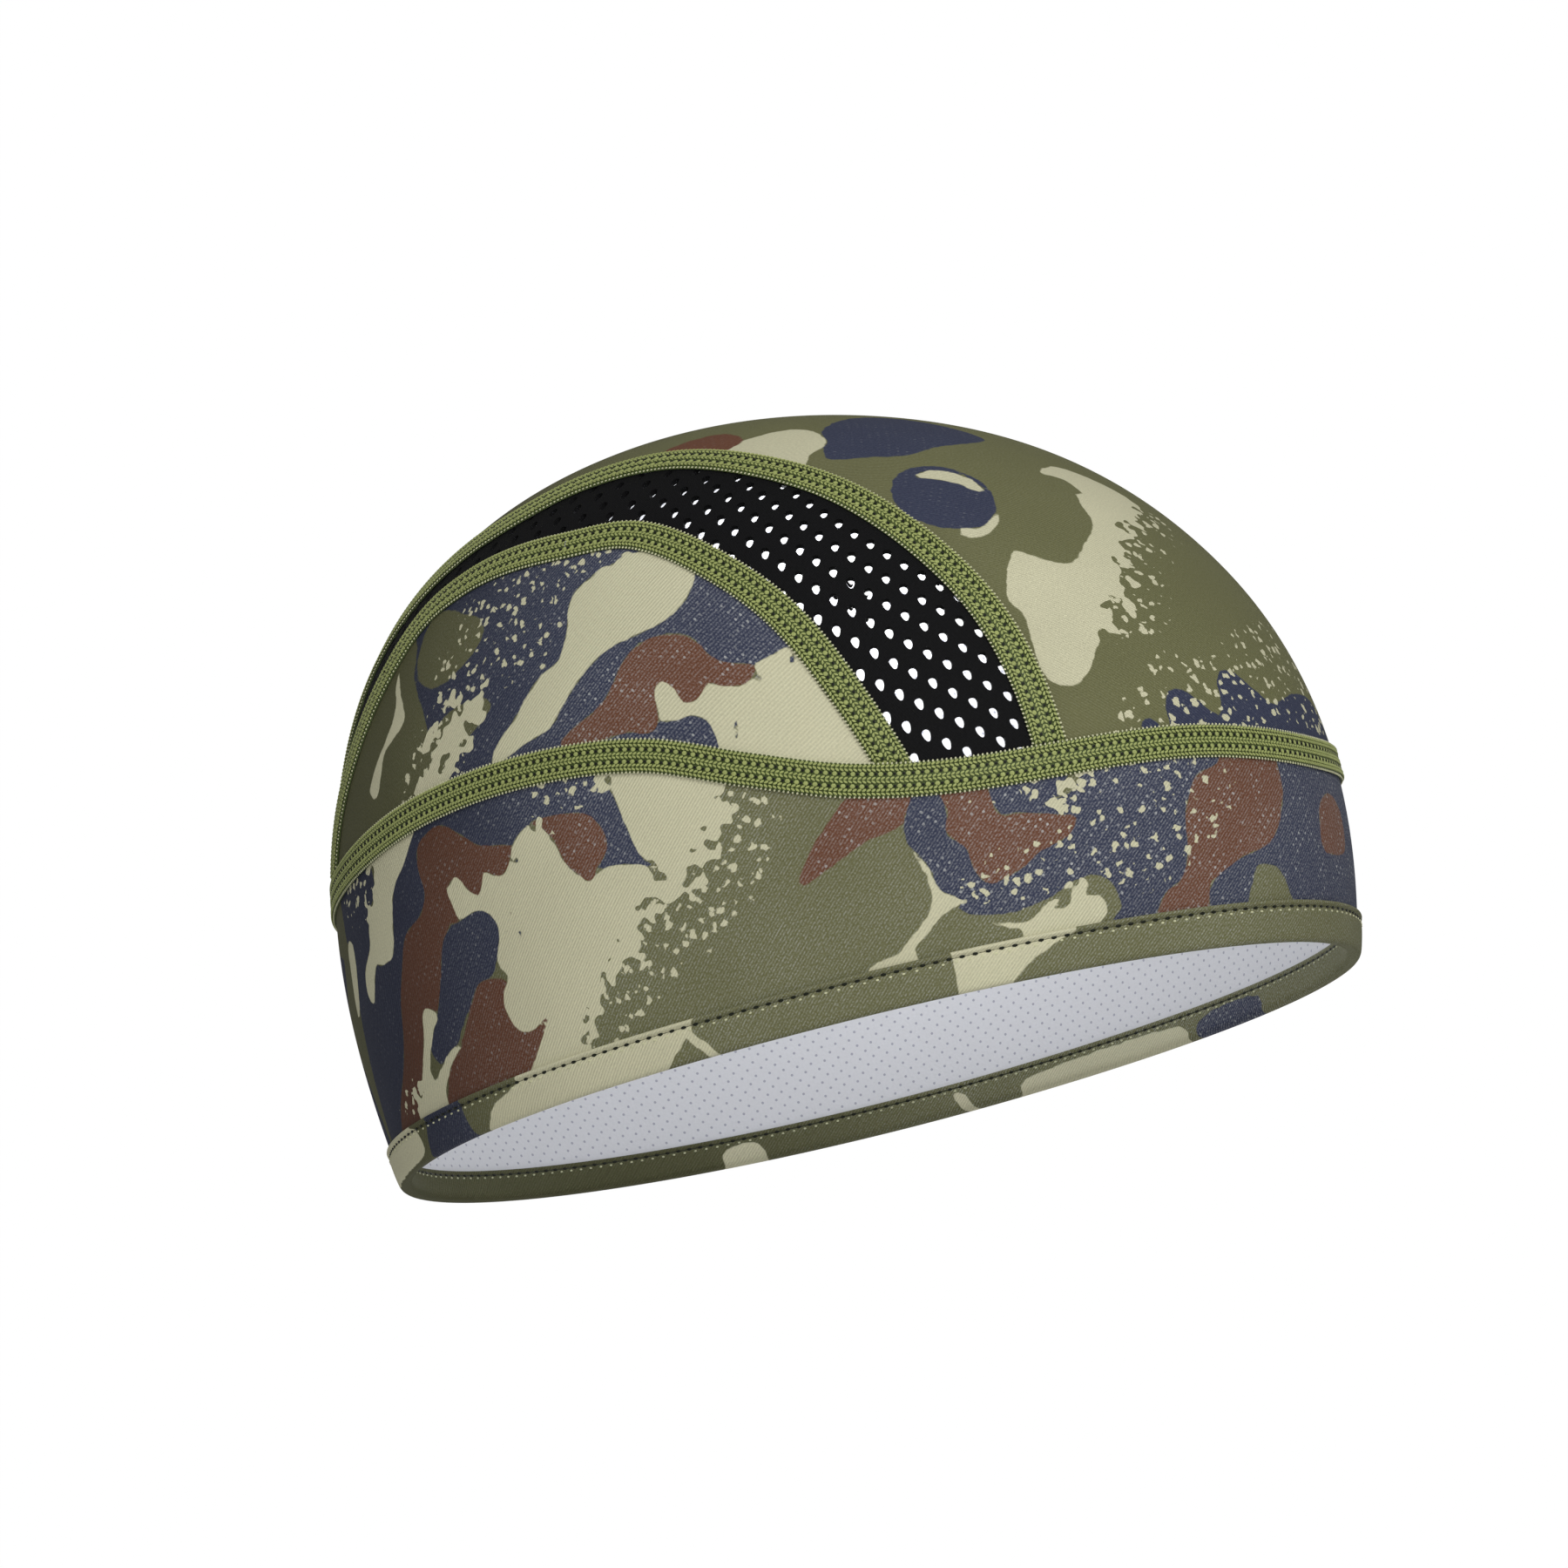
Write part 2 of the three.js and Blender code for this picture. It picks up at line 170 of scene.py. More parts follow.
band_print = [
    ("navy", [(152, 2), (150, 18), (147.5, 30), (146, 38), (147, 48), (144, 62), (90, 62), (88.3, 52),
              (87.3, 43), (84.8, 34), (88, 35.6), (92, 36.4), (96, 36), (104, 42), (112, 42), (118, 36),
              (124, 30), (128, 20), (134, 9), (131, 1), (142, -2)]),
    ("brown", [(121.5, 53), (117, 54.5), (113, 51), (110, 47.8), (105, 45.8), (103, 42), (108, 36),
               (116, 36), (118.5, 36.5), (121, 32.5), (123.5, 27), (126, 22), (130, 16.5), (135, 9),
               (137, 1), (148, 1), (143.5, 10), (138, 16.5), (135, 22), (133, 28), (130.5, 33.5),
               (128, 38.5), (124, 40.5), (122, 44), (122.5, 49)]),
    ("navy", [(119.5, 35.5), (116.5, 36.6), (113.5, 37.2), (111, 35.8), (109.8, 33), (111, 29.5),
              (113, 25.5), (116, 24.5), (118, 22), (120.5, 20), (124, 16), (127.8, 14), (129.5, 17),
              (127.5, 20.5), (125, 24), (122.5, 29.5), (121, 33.5)]),
    ("brown", [(116, 24.8), (113, 24.5), (110.5, 23), (108, 18), (106, 15), (108, 11), (110, 6), (111, 1),
               (134, 1), (130, 7.5), (127, 12.5), (123.5, 15.5), (121, 18.5), (118.5, 22)]),
    ("brown", [(101, 48.5), (98.5, 45), (97.3, 40), (94.3, 35), (92.6, 37), (91.2, 38.5), (90.4, 41),
               (91.2, 44.5), (93.8, 47.3)]),
    ("cream", [(88.8, 54), (80, 53), (74, 49), (71.6, 44.5), (73.5, 39), (76.5, 34), (80, 29.5), (84, 27),
               (88, 24.5), (91, 20.5), (95, 17), (97, 14), (101, 10.5), (101.3, 1), (116, 1), (110.5, 9),
               (107.5, 13), (106.2, 15.4), (109, 13.8), (111.5, 14.3), (112.8, 18), (112.3, 21.5),
               (110.8, 24), (111.8, 27), (110.2, 31.5), (110.4, 34.5), (112.5, 37), (116.3, 36.6),
               (116.6, 36.8), (117.6, 42.6), (117.4, 43), (115.4, 44.2), (113.6, 41), (112, 39.5),
               (110.4, 42.8), (110, 43), (107.8, 41.3), (106, 42.5), (104.2, 46.3), (101.5, 48),
               (99.3, 46.5), (98, 43.5), (97.2, 39.5), (95.8, 37), (94.3, 35), (92, 36.3), (89.5, 36.2),
               (86.8, 35.2), (84.8, 34.2), (86.3, 37), (87.3, 43), (88, 48)]),
    ("navy", [(104.6, 42.2), (105, 42.9), (104.6, 43.5), (104.2, 42.9)]),
    ("navy", [(107.6, 33), (107.9, 34.5), (107.7, 35.3), (107.4, 34.5)]),
    ("navy", [(108.9, 30.6), (109.3, 31.2), (108.9, 31.7), (108.5, 31.2)]),
    ("navy", [(106.8, 29.8), (107.2, 30.3), (106.8, 30.9), (106.4, 30.3)]),
    ("cream", [(133.8, 60), (121, 60), (125, 51.5), (128, 48.5), (129.5, 45.5), (130.3, 42), (131.5, 37.5),
               (132.8, 36), (135.5, 35.8), (137, 36.5), (138.5, 34.5), (140.5, 30.8), (141.8, 31.5),
               (142, 34), (141, 37), (139.5, 38.5), (137.8, 40.5), (137.2, 43.5), (135.5, 47),
               (133.5, 50)]),
    ("cream", [(128, 24.7), (126, 23.5), (126, 22), (127.5, 20.5), (129.5, 17.5), (131, 14.5), (130.8, 12),
               (129.5, 13), (127.5, 14.5), (125, 16), (122.2, 16.2), (125.5, 14.1), (127.5, 12),
               (129.5, 9), (131, 1), (138.5, 1), (136.8, 8), (136, 11), (133.5, 14), (131.5, 17.5),
               (130, 20.5), (129.2, 23)]),
    ("cream", [(146.4, 44), (144.2, 43), (144.6, 38), (147, 32), (149, 31), (147.6, 38)]),
    ("flecks", [(147, 54), (140, 56), (134, 54), (134.5, 47), (138, 45), (143, 46)]),
    ("flecks", [(142, 3), (143, 12), (138, 15), (134, 12), (136, 3)]),
    ("flecks", [(101, 57), (90, 58), (88, 51), (94, 46), (100, 46)]),
    ("flecks", [(103, 8), (103, 13), (97, 21), (89, 29), (82.5, 37), (76.5, 43), (71.5, 47), (68, 45),
                (67, 37), (70, 27), (79, 18), (90, 10), (97, 6)]),
    ("brown", [(66.5, 24), (64.5, 29), (61, 34), (57, 38), (50, 38), (51, 32), (54, 29.7), (58, 28.5),
               (62, 26)]),
    ("navy", [(53, 29), (51.6, 22), (50, 17), (47.5, 13), (43, 11.6), (38.5, 12.8), (35.5, 14.8),
              (33, 15.3), (31.2, 13), (30.6, 9), (31.3, 1), (-20, 1), (-26, 14), (-22, 30), (-25, 45),
              (49, 45), (51, 36)]),
    ("brown", [(48.5, 38), (43.7, 38), (42.5, 29), (40, 28), (36, 26.5), (34.2, 25.5), (35.5, 22.5),
               (38.5, 21), (41, 18.5), (44.5, 17.2), (46, 20), (46.5, 24), (48.3, 27), (47.8, 31)]),
    ("brown", [(15.7, 37), (9.5, 37), (8.6, 28), (9.2, 24), (10.8, 19), (13, 16.5), (16, 15), (19, 12.5),
               (20.5, 9.5), (21, 1), (27.5, 1), (26, 9.5), (23.5, 12.5), (22.5, 17), (22.2, 23),
               (21.5, 26), (20, 30), (17, 32)]),
    ("olive", [(15.8, 1), (14.6, 12), (12.6, 13.4), (10.4, 11.5), (8.4, 1)]),
    ("brown", [(2.5, 21), (1.5, 25), (-1.5, 27), (-4.5, 24), (-4, 17), (2, 16)]),
    ("cream", [(52.6, 25.8), (51.5, 21), (51.2, 17), (52.2, 14), (54.5, 11), (56.5, 9), (60, 7.8), (60, 5),
               (54.3, 5), (54.2, 9), (52.4, 11.2), (50.4, 13.6), (48.2, 14.7), (48.4, 16), (50.3, 18),
               (51, 22)]),
    ("cream", [(45, 10.6), (43.3, 9.2), (41.8, 8.4), (41.5, 5), (37, 5), (33.4, 7), (32.2, 9.3),
               (32.7, 11.6), (34.3, 12.2), (34.2, 13.8), (35.6, 15), (36, 12.6), (36.4, 11), (38, 10.9),
               (37, 12.8), (38.2, 12.8), (40, 10.4), (41.6, 9.6)]),
    ("cream", [(36.4, 29.2), (35.2, 30.6), (34, 33.2), (32.8, 33), (34.4, 29.8)]),
    ("flecks", [(49, 33), (36, 35), (19, 34), (15, 29), (18, 20), (24, 13), (30, 11), (34, 15), (41, 12),
                (47, 15), (47, 21), (38, 24), (37, 28)]),
]


def curve_between(before, start, after, beyond, rounds):
    """Places on a smooth curve from each start to the point after it, shaped by the points round them."""
    t = (np.arange(rounds) / rounds)[None, :, None]
    before, start, after, beyond = (points[:, None] for points in (before, start, after, beyond))
    bend = (2 * before - 5 * start + 4 * after - beyond) * t ** 2
    bend = bend + (3 * start - before - 3 * after + beyond) * t ** 3
    return (start + 0.5 * ((after - before) * t + bend)).reshape(-1, 2)


def smooth_outline(points, rounds=4):
    """A closed curve drawn smoothly through the points."""
    here = np.array(points, float)
    return curve_between(np.roll(here, 1, 0), here, np.roll(here, -1, 0), np.roll(here, -2, 0), rounds)


def in_parts(points, most=4000):
    """The points in parts small enough to be compared with everything at once."""
    return np.array_split(points, len(points) // most + 1)


def past_outline(at, outline):
    """Distance of each place from the outline, negative inside it."""
    start, side = outline, np.roll(outline, -1, 0) - outline
    gap = at[:, None] - start
    share = np.clip((gap * side).sum(-1) / (side ** 2).sum(-1), 0, 1)
    distance = np.linalg.norm(gap - share[..., None] * side, axis=-1).min(1)
    below, end = start[:, 1] > at[:, None, 1], start + side
    crossed = (below != (end[:, 1] > at[:, None, 1]))
    reach = start[:, 0] + side[:, 0] * gap[..., 1] / np.where(side[:, 1] == 0, 1, side[:, 1])
    inside = (crossed & (at[:, None, 0] < reach)).sum(1) % 2 == 1
    return np.where(inside, -distance, distance)


def dyed(places, shapes, size, repeat=None):
    """How far each place is from the edge of each dye, in millimetres, negative where it is dyed."""
    at = places * size
    fields = {dye: np.full(len(at), far_off) for dye in dyes}
    shifts = (0,) if repeat is None else (-2 * repeat, -repeat, 0, repeat, 2 * repeat)
    for dye, points in shapes:
        for shift in shifts:
            outline = (smooth_outline(points) + [shift, 0]) * size
            low, high = outline.min(0) - far_off, outline.max(0) + far_off
            near = np.flatnonzero(((at > low) & (at < high)).all(1))
            if len(near) == 0:
                continue
            distance = np.concatenate([past_outline(part, outline) for part in in_parts(at[near])])
            if dye == "flecks":
                fields[dye][near] = np.minimum(fields[dye][near], distance)
                continue
            for other in dyes[:3]:
                laid = np.minimum if other == dye else np.maximum
                fields[other][near] = laid(fields[other][near], distance if other == dye else -distance)
    return fields


def new_grid(columns, rows):
    """A new flat grid of cells, two units wide."""
    bpy.ops.object.select_all(action="DESELECT")
    bpy.ops.mesh.primitive_grid_add(x_subdivisions=columns, y_subdivisions=rows, size=2)
    return bpy.context.object


def vertex_places(mesh):
    places = np.empty(len(mesh.vertices) * 3)
    mesh.vertices.foreach_get("co", places)
    return places.reshape(-1, 3)


def fit_cloth(mesh, places, flat):
    """Moves a mesh onto the crown, with a UV map of where each point lies on the flat cloth, in metres."""
    mesh.vertices.foreach_set("co", places.ravel())
    corners = np.empty(len(mesh.loops), int)
    mesh.loops.foreach_get("vertex_index", corners)
    mesh.uv_layers[0].name = "cloth"
    mesh.uv_layers["cloth"].data.foreach_set("uv", flat[corners].ravel())
    mesh.update()


def laid_sheet(name, spots, flat, depth=0.0):
    """A grid of cloth laid on the crown, with the column and row of each of its points."""
    columns, rows = np.array(spots.shape[:2]) - 1
    sheet = new_grid(columns, rows)
    sheet.name = sheet.data.name = name
    share = (vertex_places(sheet.data)[:, :2] + 1) / 2
    column, row = np.rint(share * [columns, rows]).astype(int).T
    depth = np.broadcast_to(depth, spots.shape[:2])[column, row]
    fit_cloth(sheet.data, on_cap(spots[column, row], depth), flat[column, row])
    outward = crown_normal(spots[column, row])[sheet.data.polygons[0].vertices[0]]
    if np.dot(outward, sheet.data.polygons[0].normal) < 0:
        sheet.data.flip_normals()
    return sheet, column, row


def dye_sheet(sheet, fields):
    for dye, distance in fields.items():
        layer = sheet.data.attributes.new(dye, "FLOAT", "POINT")
        layer.data.foreach_set("value", distance)


def weld_ring():
    """Welds the two ends of the newest ring of cloth."""
    bpy.ops.object.mode_set(mode="EDIT")
    bpy.ops.mesh.select_all(action="SELECT")
    bpy.ops.mesh.remove_doubles(threshold=weld_gap)
    bpy.ops.object.mode_set(mode="OBJECT")


def give_wall(sheet, wall, face, reverse, even=True):
    """Gives the cloth its two finishes and its thickness, inwards."""
    sheet.data.materials.append(face)
    sheet.data.materials.append(reverse)
    solidify = sheet.modifiers.new("wall", "SOLIDIFY")
    solidify.thickness = wall
    solidify.offset = -1
    solidify.use_even_offset = even
    solidify.material_offset = 1
    bpy.ops.object.modifier_apply(modifier=solidify.name)
    bpy.ops.object.shade_smooth_by_angle(angle=math.radians(50))


def sewn_in(piece, slot, *nodes):
    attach(piece, "root")
    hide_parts(*nodes)


class Yarn:
    """One value running through a finish; sums and products of yarns add their own Math nodes."""

    def __init__(self, finish, socket):
        self.finish, self.socket = finish, socket

    def maths(self, operation, *others):
        return self.finish.node("ShaderNodeMath", (self, *others), operation=operation)

    def ramp(self, slope, start=0.0):
        """The yarn times a slope plus a start, held between 0 and 1."""
        settings = {"operation": "MULTIPLY_ADD", "use_clamp": True}
        return self.finish.node("ShaderNodeMath", (self, slope, start), **settings)

    def __add__(self, other):
        return self.maths("ADD", other)

    def __sub__(self, other):
        return self.maths("SUBTRACT", other)

    def __rsub__(self, other):
        return self.finish.node("ShaderNodeMath", (other, self), operation="SUBTRACT")

    def __mul__(self, other):
        return self.maths("MULTIPLY", other)

    __radd__, __rmul__ = __add__, __mul__


class Finish:
    """A material under way: its nodes, and the surface that they end in."""

    def __init__(self, name, roughness, sheen=0.0):
        self.material = bpy.data.materials.new(name)
        self.material.use_nodes = True
        self.nodes, self.links = self.material.node_tree.nodes, self.material.node_tree.links
        self.surface = self.nodes["Principled BSDF"]
        self.surface.inputs["Roughness"].default_value = roughness
        self.surface.inputs["Sheen Weight"].default_value = sheen
        self.surface.inputs["Specular IOR Level"].default_value = 0.15

    def node(self, kind, feeds=(), out=0, **settings):
        node = self.nodes.new(kind)
        for key, value in settings.items():
            setattr(node, key, value)
        for key, value in feeds.items() if isinstance(feeds, dict) else enumerate(feeds):
            if isinstance(value, Yarn):
                self.links.new(value.socket, node.inputs[key])
            else:
                node.inputs[key].default_value = value
        return Yarn(self, node.outputs[out])

    def feed(self, name, value):
        self.links.new(value.socket, self.surface.inputs[name])

    def cloth_place(self):
        return self.node("ShaderNodeUVMap", uv_map="cloth")

    def cloth_axes(self):
        place = self.cloth_place()
        return [self.node("ShaderNodeSeparateXYZ", [place], out=axis) for axis in (0, 1)]

    def noise(self, place, grain, detail=2.0, out=0):
        """Cloudy variation with features about the size of the grain."""
        feeds = {"Vector": place, "Scale": 1 / grain, "Detail": detail}
        return self.node("ShaderNodeTexNoise", feeds, out=out)

    def printed(self, dye, jitter=0.0, edge=0.22):
        """1 where the cloth takes the dye, with a soft edge as wide as given, in millimetres."""
        distance = self.node("ShaderNodeAttribute", attribute_name=dye, out="Fac") + jitter
        return distance.ramp(-1 / edge, 0.5)

    def over(self, share, under, top):
        return self.node("ShaderNodeMix", {0: share, 6: under, 7: top}, out=2, data_type="RGBA")

    def shaded(self, colour, amount):
        """A colour made lighter or darker by an amount round 1."""
        colour = colour if isinstance(colour, Yarn) else colour[:3]
        scaled = self.node("ShaderNodeCombineXYZ", [amount, amount, amount])
        return self.node("ShaderNodeVectorMath", [colour, scaled], operation="MULTIPLY")

    def waves(self, along, pitch):
        return (along * (2 * math.pi / pitch)).maths("SINE")

    def pins(self, along, up, pitch, radius):
        """1 on pin dots in staggered rows."""
        dots = None
        for shift in (0.0, 0.5):
            gaps = []
            for axis in (along, up):
                step = (axis * (1 / pitch) + shift).maths("FRACT")
                gaps.append((step - 0.5).maths("POWER", 2.0))
            near = gaps[0] + gaps[1]
            dot = self.node("ShaderNodeMath", [near, (radius / pitch) ** 2], operation="LESS_THAN")
            dots = dot if dots is None else dots.maths("MAXIMUM", dot)
        return dots

    def bumped(self, height, depth, strength=1.0):
        feeds = {"Strength": strength, "Distance": depth, "Height": height}
        self.feed("Normal", self.node("ShaderNodeBump", feeds))


def shade(red, green, blue):
    """A colour seen on the cloth, 0 to 255, as light."""
    seen = np.array([red, green, blue]) / 255
    return (*np.where(seen < 0.04045, seen / 12.92, ((seen + 0.055) / 1.055) ** 2.4), 1.0)


olive_dye = shade(104, 104, 70)
navy_dye = shade(52, 57, 78)
brown_dye = shade(104, 66, 47)
cream_dye = shade(197, 194, 164)
pin_white = shade(190, 192, 190)
twill_pitch = 0.75 * mm
ragged_grain = 3.4 * mm
ragged_reach = 22.0
fleck_zone_edge = 3.0
fleck_spacing = 2.0 * mm
fleck_bend = 2.2 * mm
fleck_growth = 0.52
fleck_least = 0.1
pin_pitch = 2.1 * mm
pin_radius = 0.25 * mm
# Fade and start of the painted front light; the bare yarn and painted sheen left at the nape; how much
# slack cloth cuts it; the painted shade of the darker dyes at the nape.
painted_light_fade = 50 * mm
painted_light_start = 1.3
least_bare_and_sheen = 0.2
slack_cover = 0.85
nape_painted_shade = 0.62


def fleck_print(cloth, place, zone):
    """1 on small ragged flecks of dye, thickest in the middle of their zone."""
    bent = cloth.node("ShaderNodeVectorMath", [cloth.noise(place, 1.6 * mm, out=1), (0.5, 0.5, 0.5)],
                      operation="SUBTRACT")
    bent = cloth.node("ShaderNodeVectorMath", {0: bent, 3: fleck_bend}, operation="SCALE")
    bent = cloth.node("ShaderNodeVectorMath", [place, bent], operation="ADD")
    cell = {"Vector": bent, "Scale": 1 / fleck_spacing, "Randomness": 1.0}
    from_fleck, colours = (cloth.node("ShaderNodeTexVoronoi", cell, out=out, voronoi_dimensions="2D")
                           for out in (0, 1))
    size = cloth.node("ShaderNodeSeparateXYZ", [colours])
    return (size * zone * fleck_growth - fleck_least - from_fleck).ramp(14.0)


def printed_knit():
    """Matt stretch knit with a diagonal rib, printed in four dyes; the print breaks into flecks in places.
    Bare white yarn and pin dots appear through the print, more on the front and less towards the nape:
    partly the knit's own look, partly painted sheen on the lit front. The darker dyes get painted shade
    towards the nape; cream keeps its tone.
    The attribute slack is 1 on cloth that isn't stretched tight at all, where far less bare yarn and pin
    appear."""
    cloth = Finish("printed_knit", roughness=0.65)
    place = cloth.cloth_place()
    along, up = cloth.cloth_axes()
    wobble = (cloth.noise(place, 2.5 * mm) - 0.5) * 0.8
    zone = cloth.printed("flecks", edge=fleck_zone_edge)
    ragged = (cloth.noise(place, ragged_grain, detail=1.0) - 0.5) * ragged_reach
    navy, brown = cloth.printed("navy", wobble), cloth.printed("brown", wobble)
    cream = cloth.printed("cream", wobble + zone * ragged)
    cream = cream.maths("MAXIMUM", fleck_print(cloth, place, zone))
    colour = olive_dye
    for share, dye in ((navy, navy_dye), (brown, brown_dye), (cream, cream_dye)):
        colour = cloth.over(share, colour, dye)
    backwards = cloth.node("ShaderNodeSeparateXYZ", [cloth.node("ShaderNodeTexCoord", out=3)], out=1)
    # Painted light: 1 on the front of the cap, which faces the lamps, fading to 0 towards the nape.
    painted_front_light = backwards.ramp(-1 / painted_light_fade, painted_light_start)
    slack = cloth.node("ShaderNodeAttribute", attribute_name="slack", out="Fac")
    # How much bare yarn and pin appear: less towards the nape, partly the knit's own look and partly
    # painted sheen on the lit front, and less on slack cloth.
    bare_show_and_painted_sheen = (least_bare_and_sheen + (1 - least_bare_and_sheen) * painted_front_light) * (1 - slack_cover * slack)
    pin = cloth.pins(along, up, pin_pitch, pin_radius) * bare_show_and_painted_sheen
    lit = (cloth.noise(place, 4 * mm) - 0.47).ramp(5.0)
    dark_dye = navy.maths("MAXIMUM", brown) * 0.55 + 0.1
    colour = cloth.over(pin * lit * dark_dye * (1 - cream), colour, pin_white)
    rib = cloth.waves(along + up, twill_pitch)
    fuzz = cloth.noise(place, 0.4 * mm, detail=3.0)
    cloud = cloth.noise(place, 22 * mm)
    bare = (fuzz - 0.4).ramp(4.0) * bare_show_and_painted_sheen * (0.55 + 0.45 * rib) * (0.14 + 0.36 * cloud)
    colour = cloth.over(bare * (1 - cream), colour, pin_white)
    light = 0.9 + 0.07 * rib + 0.42 * (fuzz - 0.5) + 0.16 * cloud
    # Painted shade: the darker dyes darken towards the nape, away from the lamps; cream keeps its tone.
    dye_painted_shade = nape_painted_shade + (1 - nape_painted_shade) * painted_front_light
    cloth.feed("Base Color", cloth.shaded(colour, light * (dye_painted_shade + cream * (1 - dye_painted_shade))))
    cloth.bumped(rib * 0.5 + fuzz, 0.12 * mm, 0.7)
    return cloth.material


reverse_white = shade(222, 223, 227)
reverse_pin = shade(120, 124, 150)
reverse_pin_pitch = 2.9 * mm
reverse_pin_radius = 0.27 * mm


def unprinted_reverse():
    """The white inner face of the same knit, with pin dots where the stitches let the print through."""
    cloth = Finish("unprinted_reverse", roughness=0.85, sheen=0.1)
    place = cloth.cloth_place()
    along, up = cloth.cloth_axes()
    pin = cloth.pins(along, up, reverse_pin_pitch, reverse_pin_radius)
    fuzz = cloth.noise(place, 0.6 * mm, detail=3.0)
    colour = cloth.over(pin * 0.55, reverse_white, reverse_pin)
    cloth.feed("Base Color", cloth.shaded(colour, 0.95 + 0.1 * (fuzz - 0.5)))
    cloth.bumped(fuzz - pin, 0.12 * mm, 0.6)
    return cloth.material


knit = printed_knit()
knit_reverse = unprinted_reverse()

band_turns = np.linspace(0, 360, band_columns + 1)
band_shares = np.linspace(0, 1, band_rows + 1)
band_heights = band_foot + (band_edge(band_turns) - seam_gap / 2 - band_foot)[:, None] * band_shares
turn_grid = np.repeat(band_turns[:, None], band_rows + 1, 1)
band_spots = at_height(turn_grid, band_heights)
girth = travelled(on_cap(at_height(band_turns, girth_height)))
band_flat = np.stack([np.repeat(girth[:, None], band_rows + 1, 1), band_heights], -1)
band, column, row = laid_sheet("lower_band_cloth", band_spots, band_flat)
band_places = np.stack([turn_grid[column, row], band_heights[column, row] / mm], -1)
dye_sheet(band, dyed(band_places, band_print, np.array([band_degree, 1]), band_repeat))
weld_ring()
give_wall(band, cloth_wall, knit, knit_reverse)
sewn_in(band, "printed_knit", "lower_band")

# Side panels
# One arch of printed knit over each ear. It stands on the band seam, and the inner seam of the
# mesh runs round its top; on the left one the print runs the other way, back to front.
side_crest = 0.803 * crown_height
side_columns = 150
side_rows = 50
foot_trim = 0.005
side_trim = 0.004
side_arc = [(52, 0), (55.3, 0.225), (61, 0.52), (69, 0.735), (80, 0.915), (94, 0.975), (114, 1),
            (125, 0.93), (134, 0.735), (142, 0.48), (148, 0.24), (151.5, 0)]
side_print = [
    ("navy", [(30, 45), (62, 45), (64, 0), (60, -30), (40, -60), (20, -50), (28, 0)]),
    ("cream", [(52.5, 38), (51, 35.5), (48.5, 32), (46.5, 28.5), (44.8, 26), (44.5, 24), (45.5, 22.5),
               (46.8, 20.5), (48.5, 19.5), (49, 17), (48.8, 15.5), (50.3, 14), (50.5, 12.5), (49.3, 11.5),
               (48.6, 10), (49.3, 9), (52, 9.3), (52.2, 11.5), (51.8, 13.5), (52.3, 15.5), (53.5, 16.5),
               (54.5, 17), (59, 20), (60, 28), (56, 38)]),
    ("navy", [(45.5, 24.4), (45.9, 24.8), (45.5, 25.2), (45.1, 24.8)]),
    ("navy", [(47.8, 20.9), (48.2, 21.3), (47.8, 21.7), (47.4, 21.3)]),
    ("navy", [(52.2, 18.9), (53.6, 19), (53.6, 19.4), (52.2, 19.3)]),
    ("brown", [(48.7, 33), (46.6, 29.5), (44.8, 27), (44.4, 24.6), (45.6, 26.2), (47.2, 28.5),
               (49, 31.5)]),
    ("brown", [(46.8, 20.8), (48.6, 19.8), (49, 17), (48.8, 15.5), (50.3, 14.2), (50.6, 12.5),
               (49.4, 11.4), (48.6, 10), (49.3, 8.9), (52, 9.3), (53.2, 8), (52.8, 5), (53, 0), (52, -4),
               (51, -2), (50, 1.5), (48.5, 3.5), (46.5, 5), (45, 7), (44.3, 10), (44.6, 13), (46.3, 15.5),
               (46.8, 17.5)]),
    ("cream", [(38, 12.8), (41, 12.3), (43, 10), (44, 7), (44.8, 3.5), (46.3, 0.5), (48.3, -2.5), (50, -5),
               (50.2, -9), (50.3, -13), (49.8, -14.2), (48.5, -12.5), (47.5, -9.5), (46, -7), (45, -5),
               (44.3, -2.5), (42, -1.3), (40, -1), (38.5, 0), (37.3, 2.5), (36.5, 5.5), (36, 8),
               (36.6, 10.5)]),
    ("flecks", [(33, 8), (36, 5), (38, -1), (43, -3), (44, -8), (44, -16), (41, -20), (36, -19),
                (32, -10)]),
    ("olive", [(38, -12), (36, -12), (33.5, -14.5), (31, -17), (30.5, -19.5), (33, -21.5), (36, -21.5),
               (38.5, -19), (39, -15)]),
    ("olive", [(28, -24), (35, -22.5), (42, -22), (47, -23), (51, -32), (48, -44), (34, -60), (20, -52)]),
    ("cream", [(45, -12.5), (43.5, -13), (42.8, -15), (42, -17.5), (41.8, -20), (42.3, -22.5),
               (43.5, -22.5), (44.5, -24.5), (45.5, -26), (46.7, -25), (47, -21), (46, -17)]),
    ("cream", [(31, -25), (34, -25), (37, -25.2), (36.8, -28), (36.5, -30), (37.5, -31.5), (38.5, -33.5),
               (36.5, -34.5), (35.8, -32), (35.5, -28.5), (34.5, -26.3), (32.5, -25.8)]),
    ("flecks", [(42, -12), (47, -16), (49, -22), (48, -28), (43, -30), (40, -24), (40, -16)]),
]
side_half_turn = -22


def drawn_line(points, rounds=16):
    """An open curve drawn smoothly through the points."""
    here = np.array(points, float)
    padded = np.concatenate([here[:1], here, here[-1:]])
    curve = curve_between(padded[:-3], padded[1:-2], padded[2:-1], padded[3:], rounds)
    return np.concatenate([curve, here[-1:]])


def spaced(line, shares):
    """Places on a line at the given shares of its length."""
    run = travelled(line)
    return np.stack([np.interp(shares, run / run[-1], line[:, axis]) for axis in range(line.shape[1])], -1)


def seam_arc(rows, crest):
    """The line of an upper seam on the chart; each row is a turn and a rise from band edge to crest."""
    turn, rise = np.array(rows, float).T
    return drawn_line(at_height(turn, band_edge(turn) + rise * (crest - band_edge(turn))))


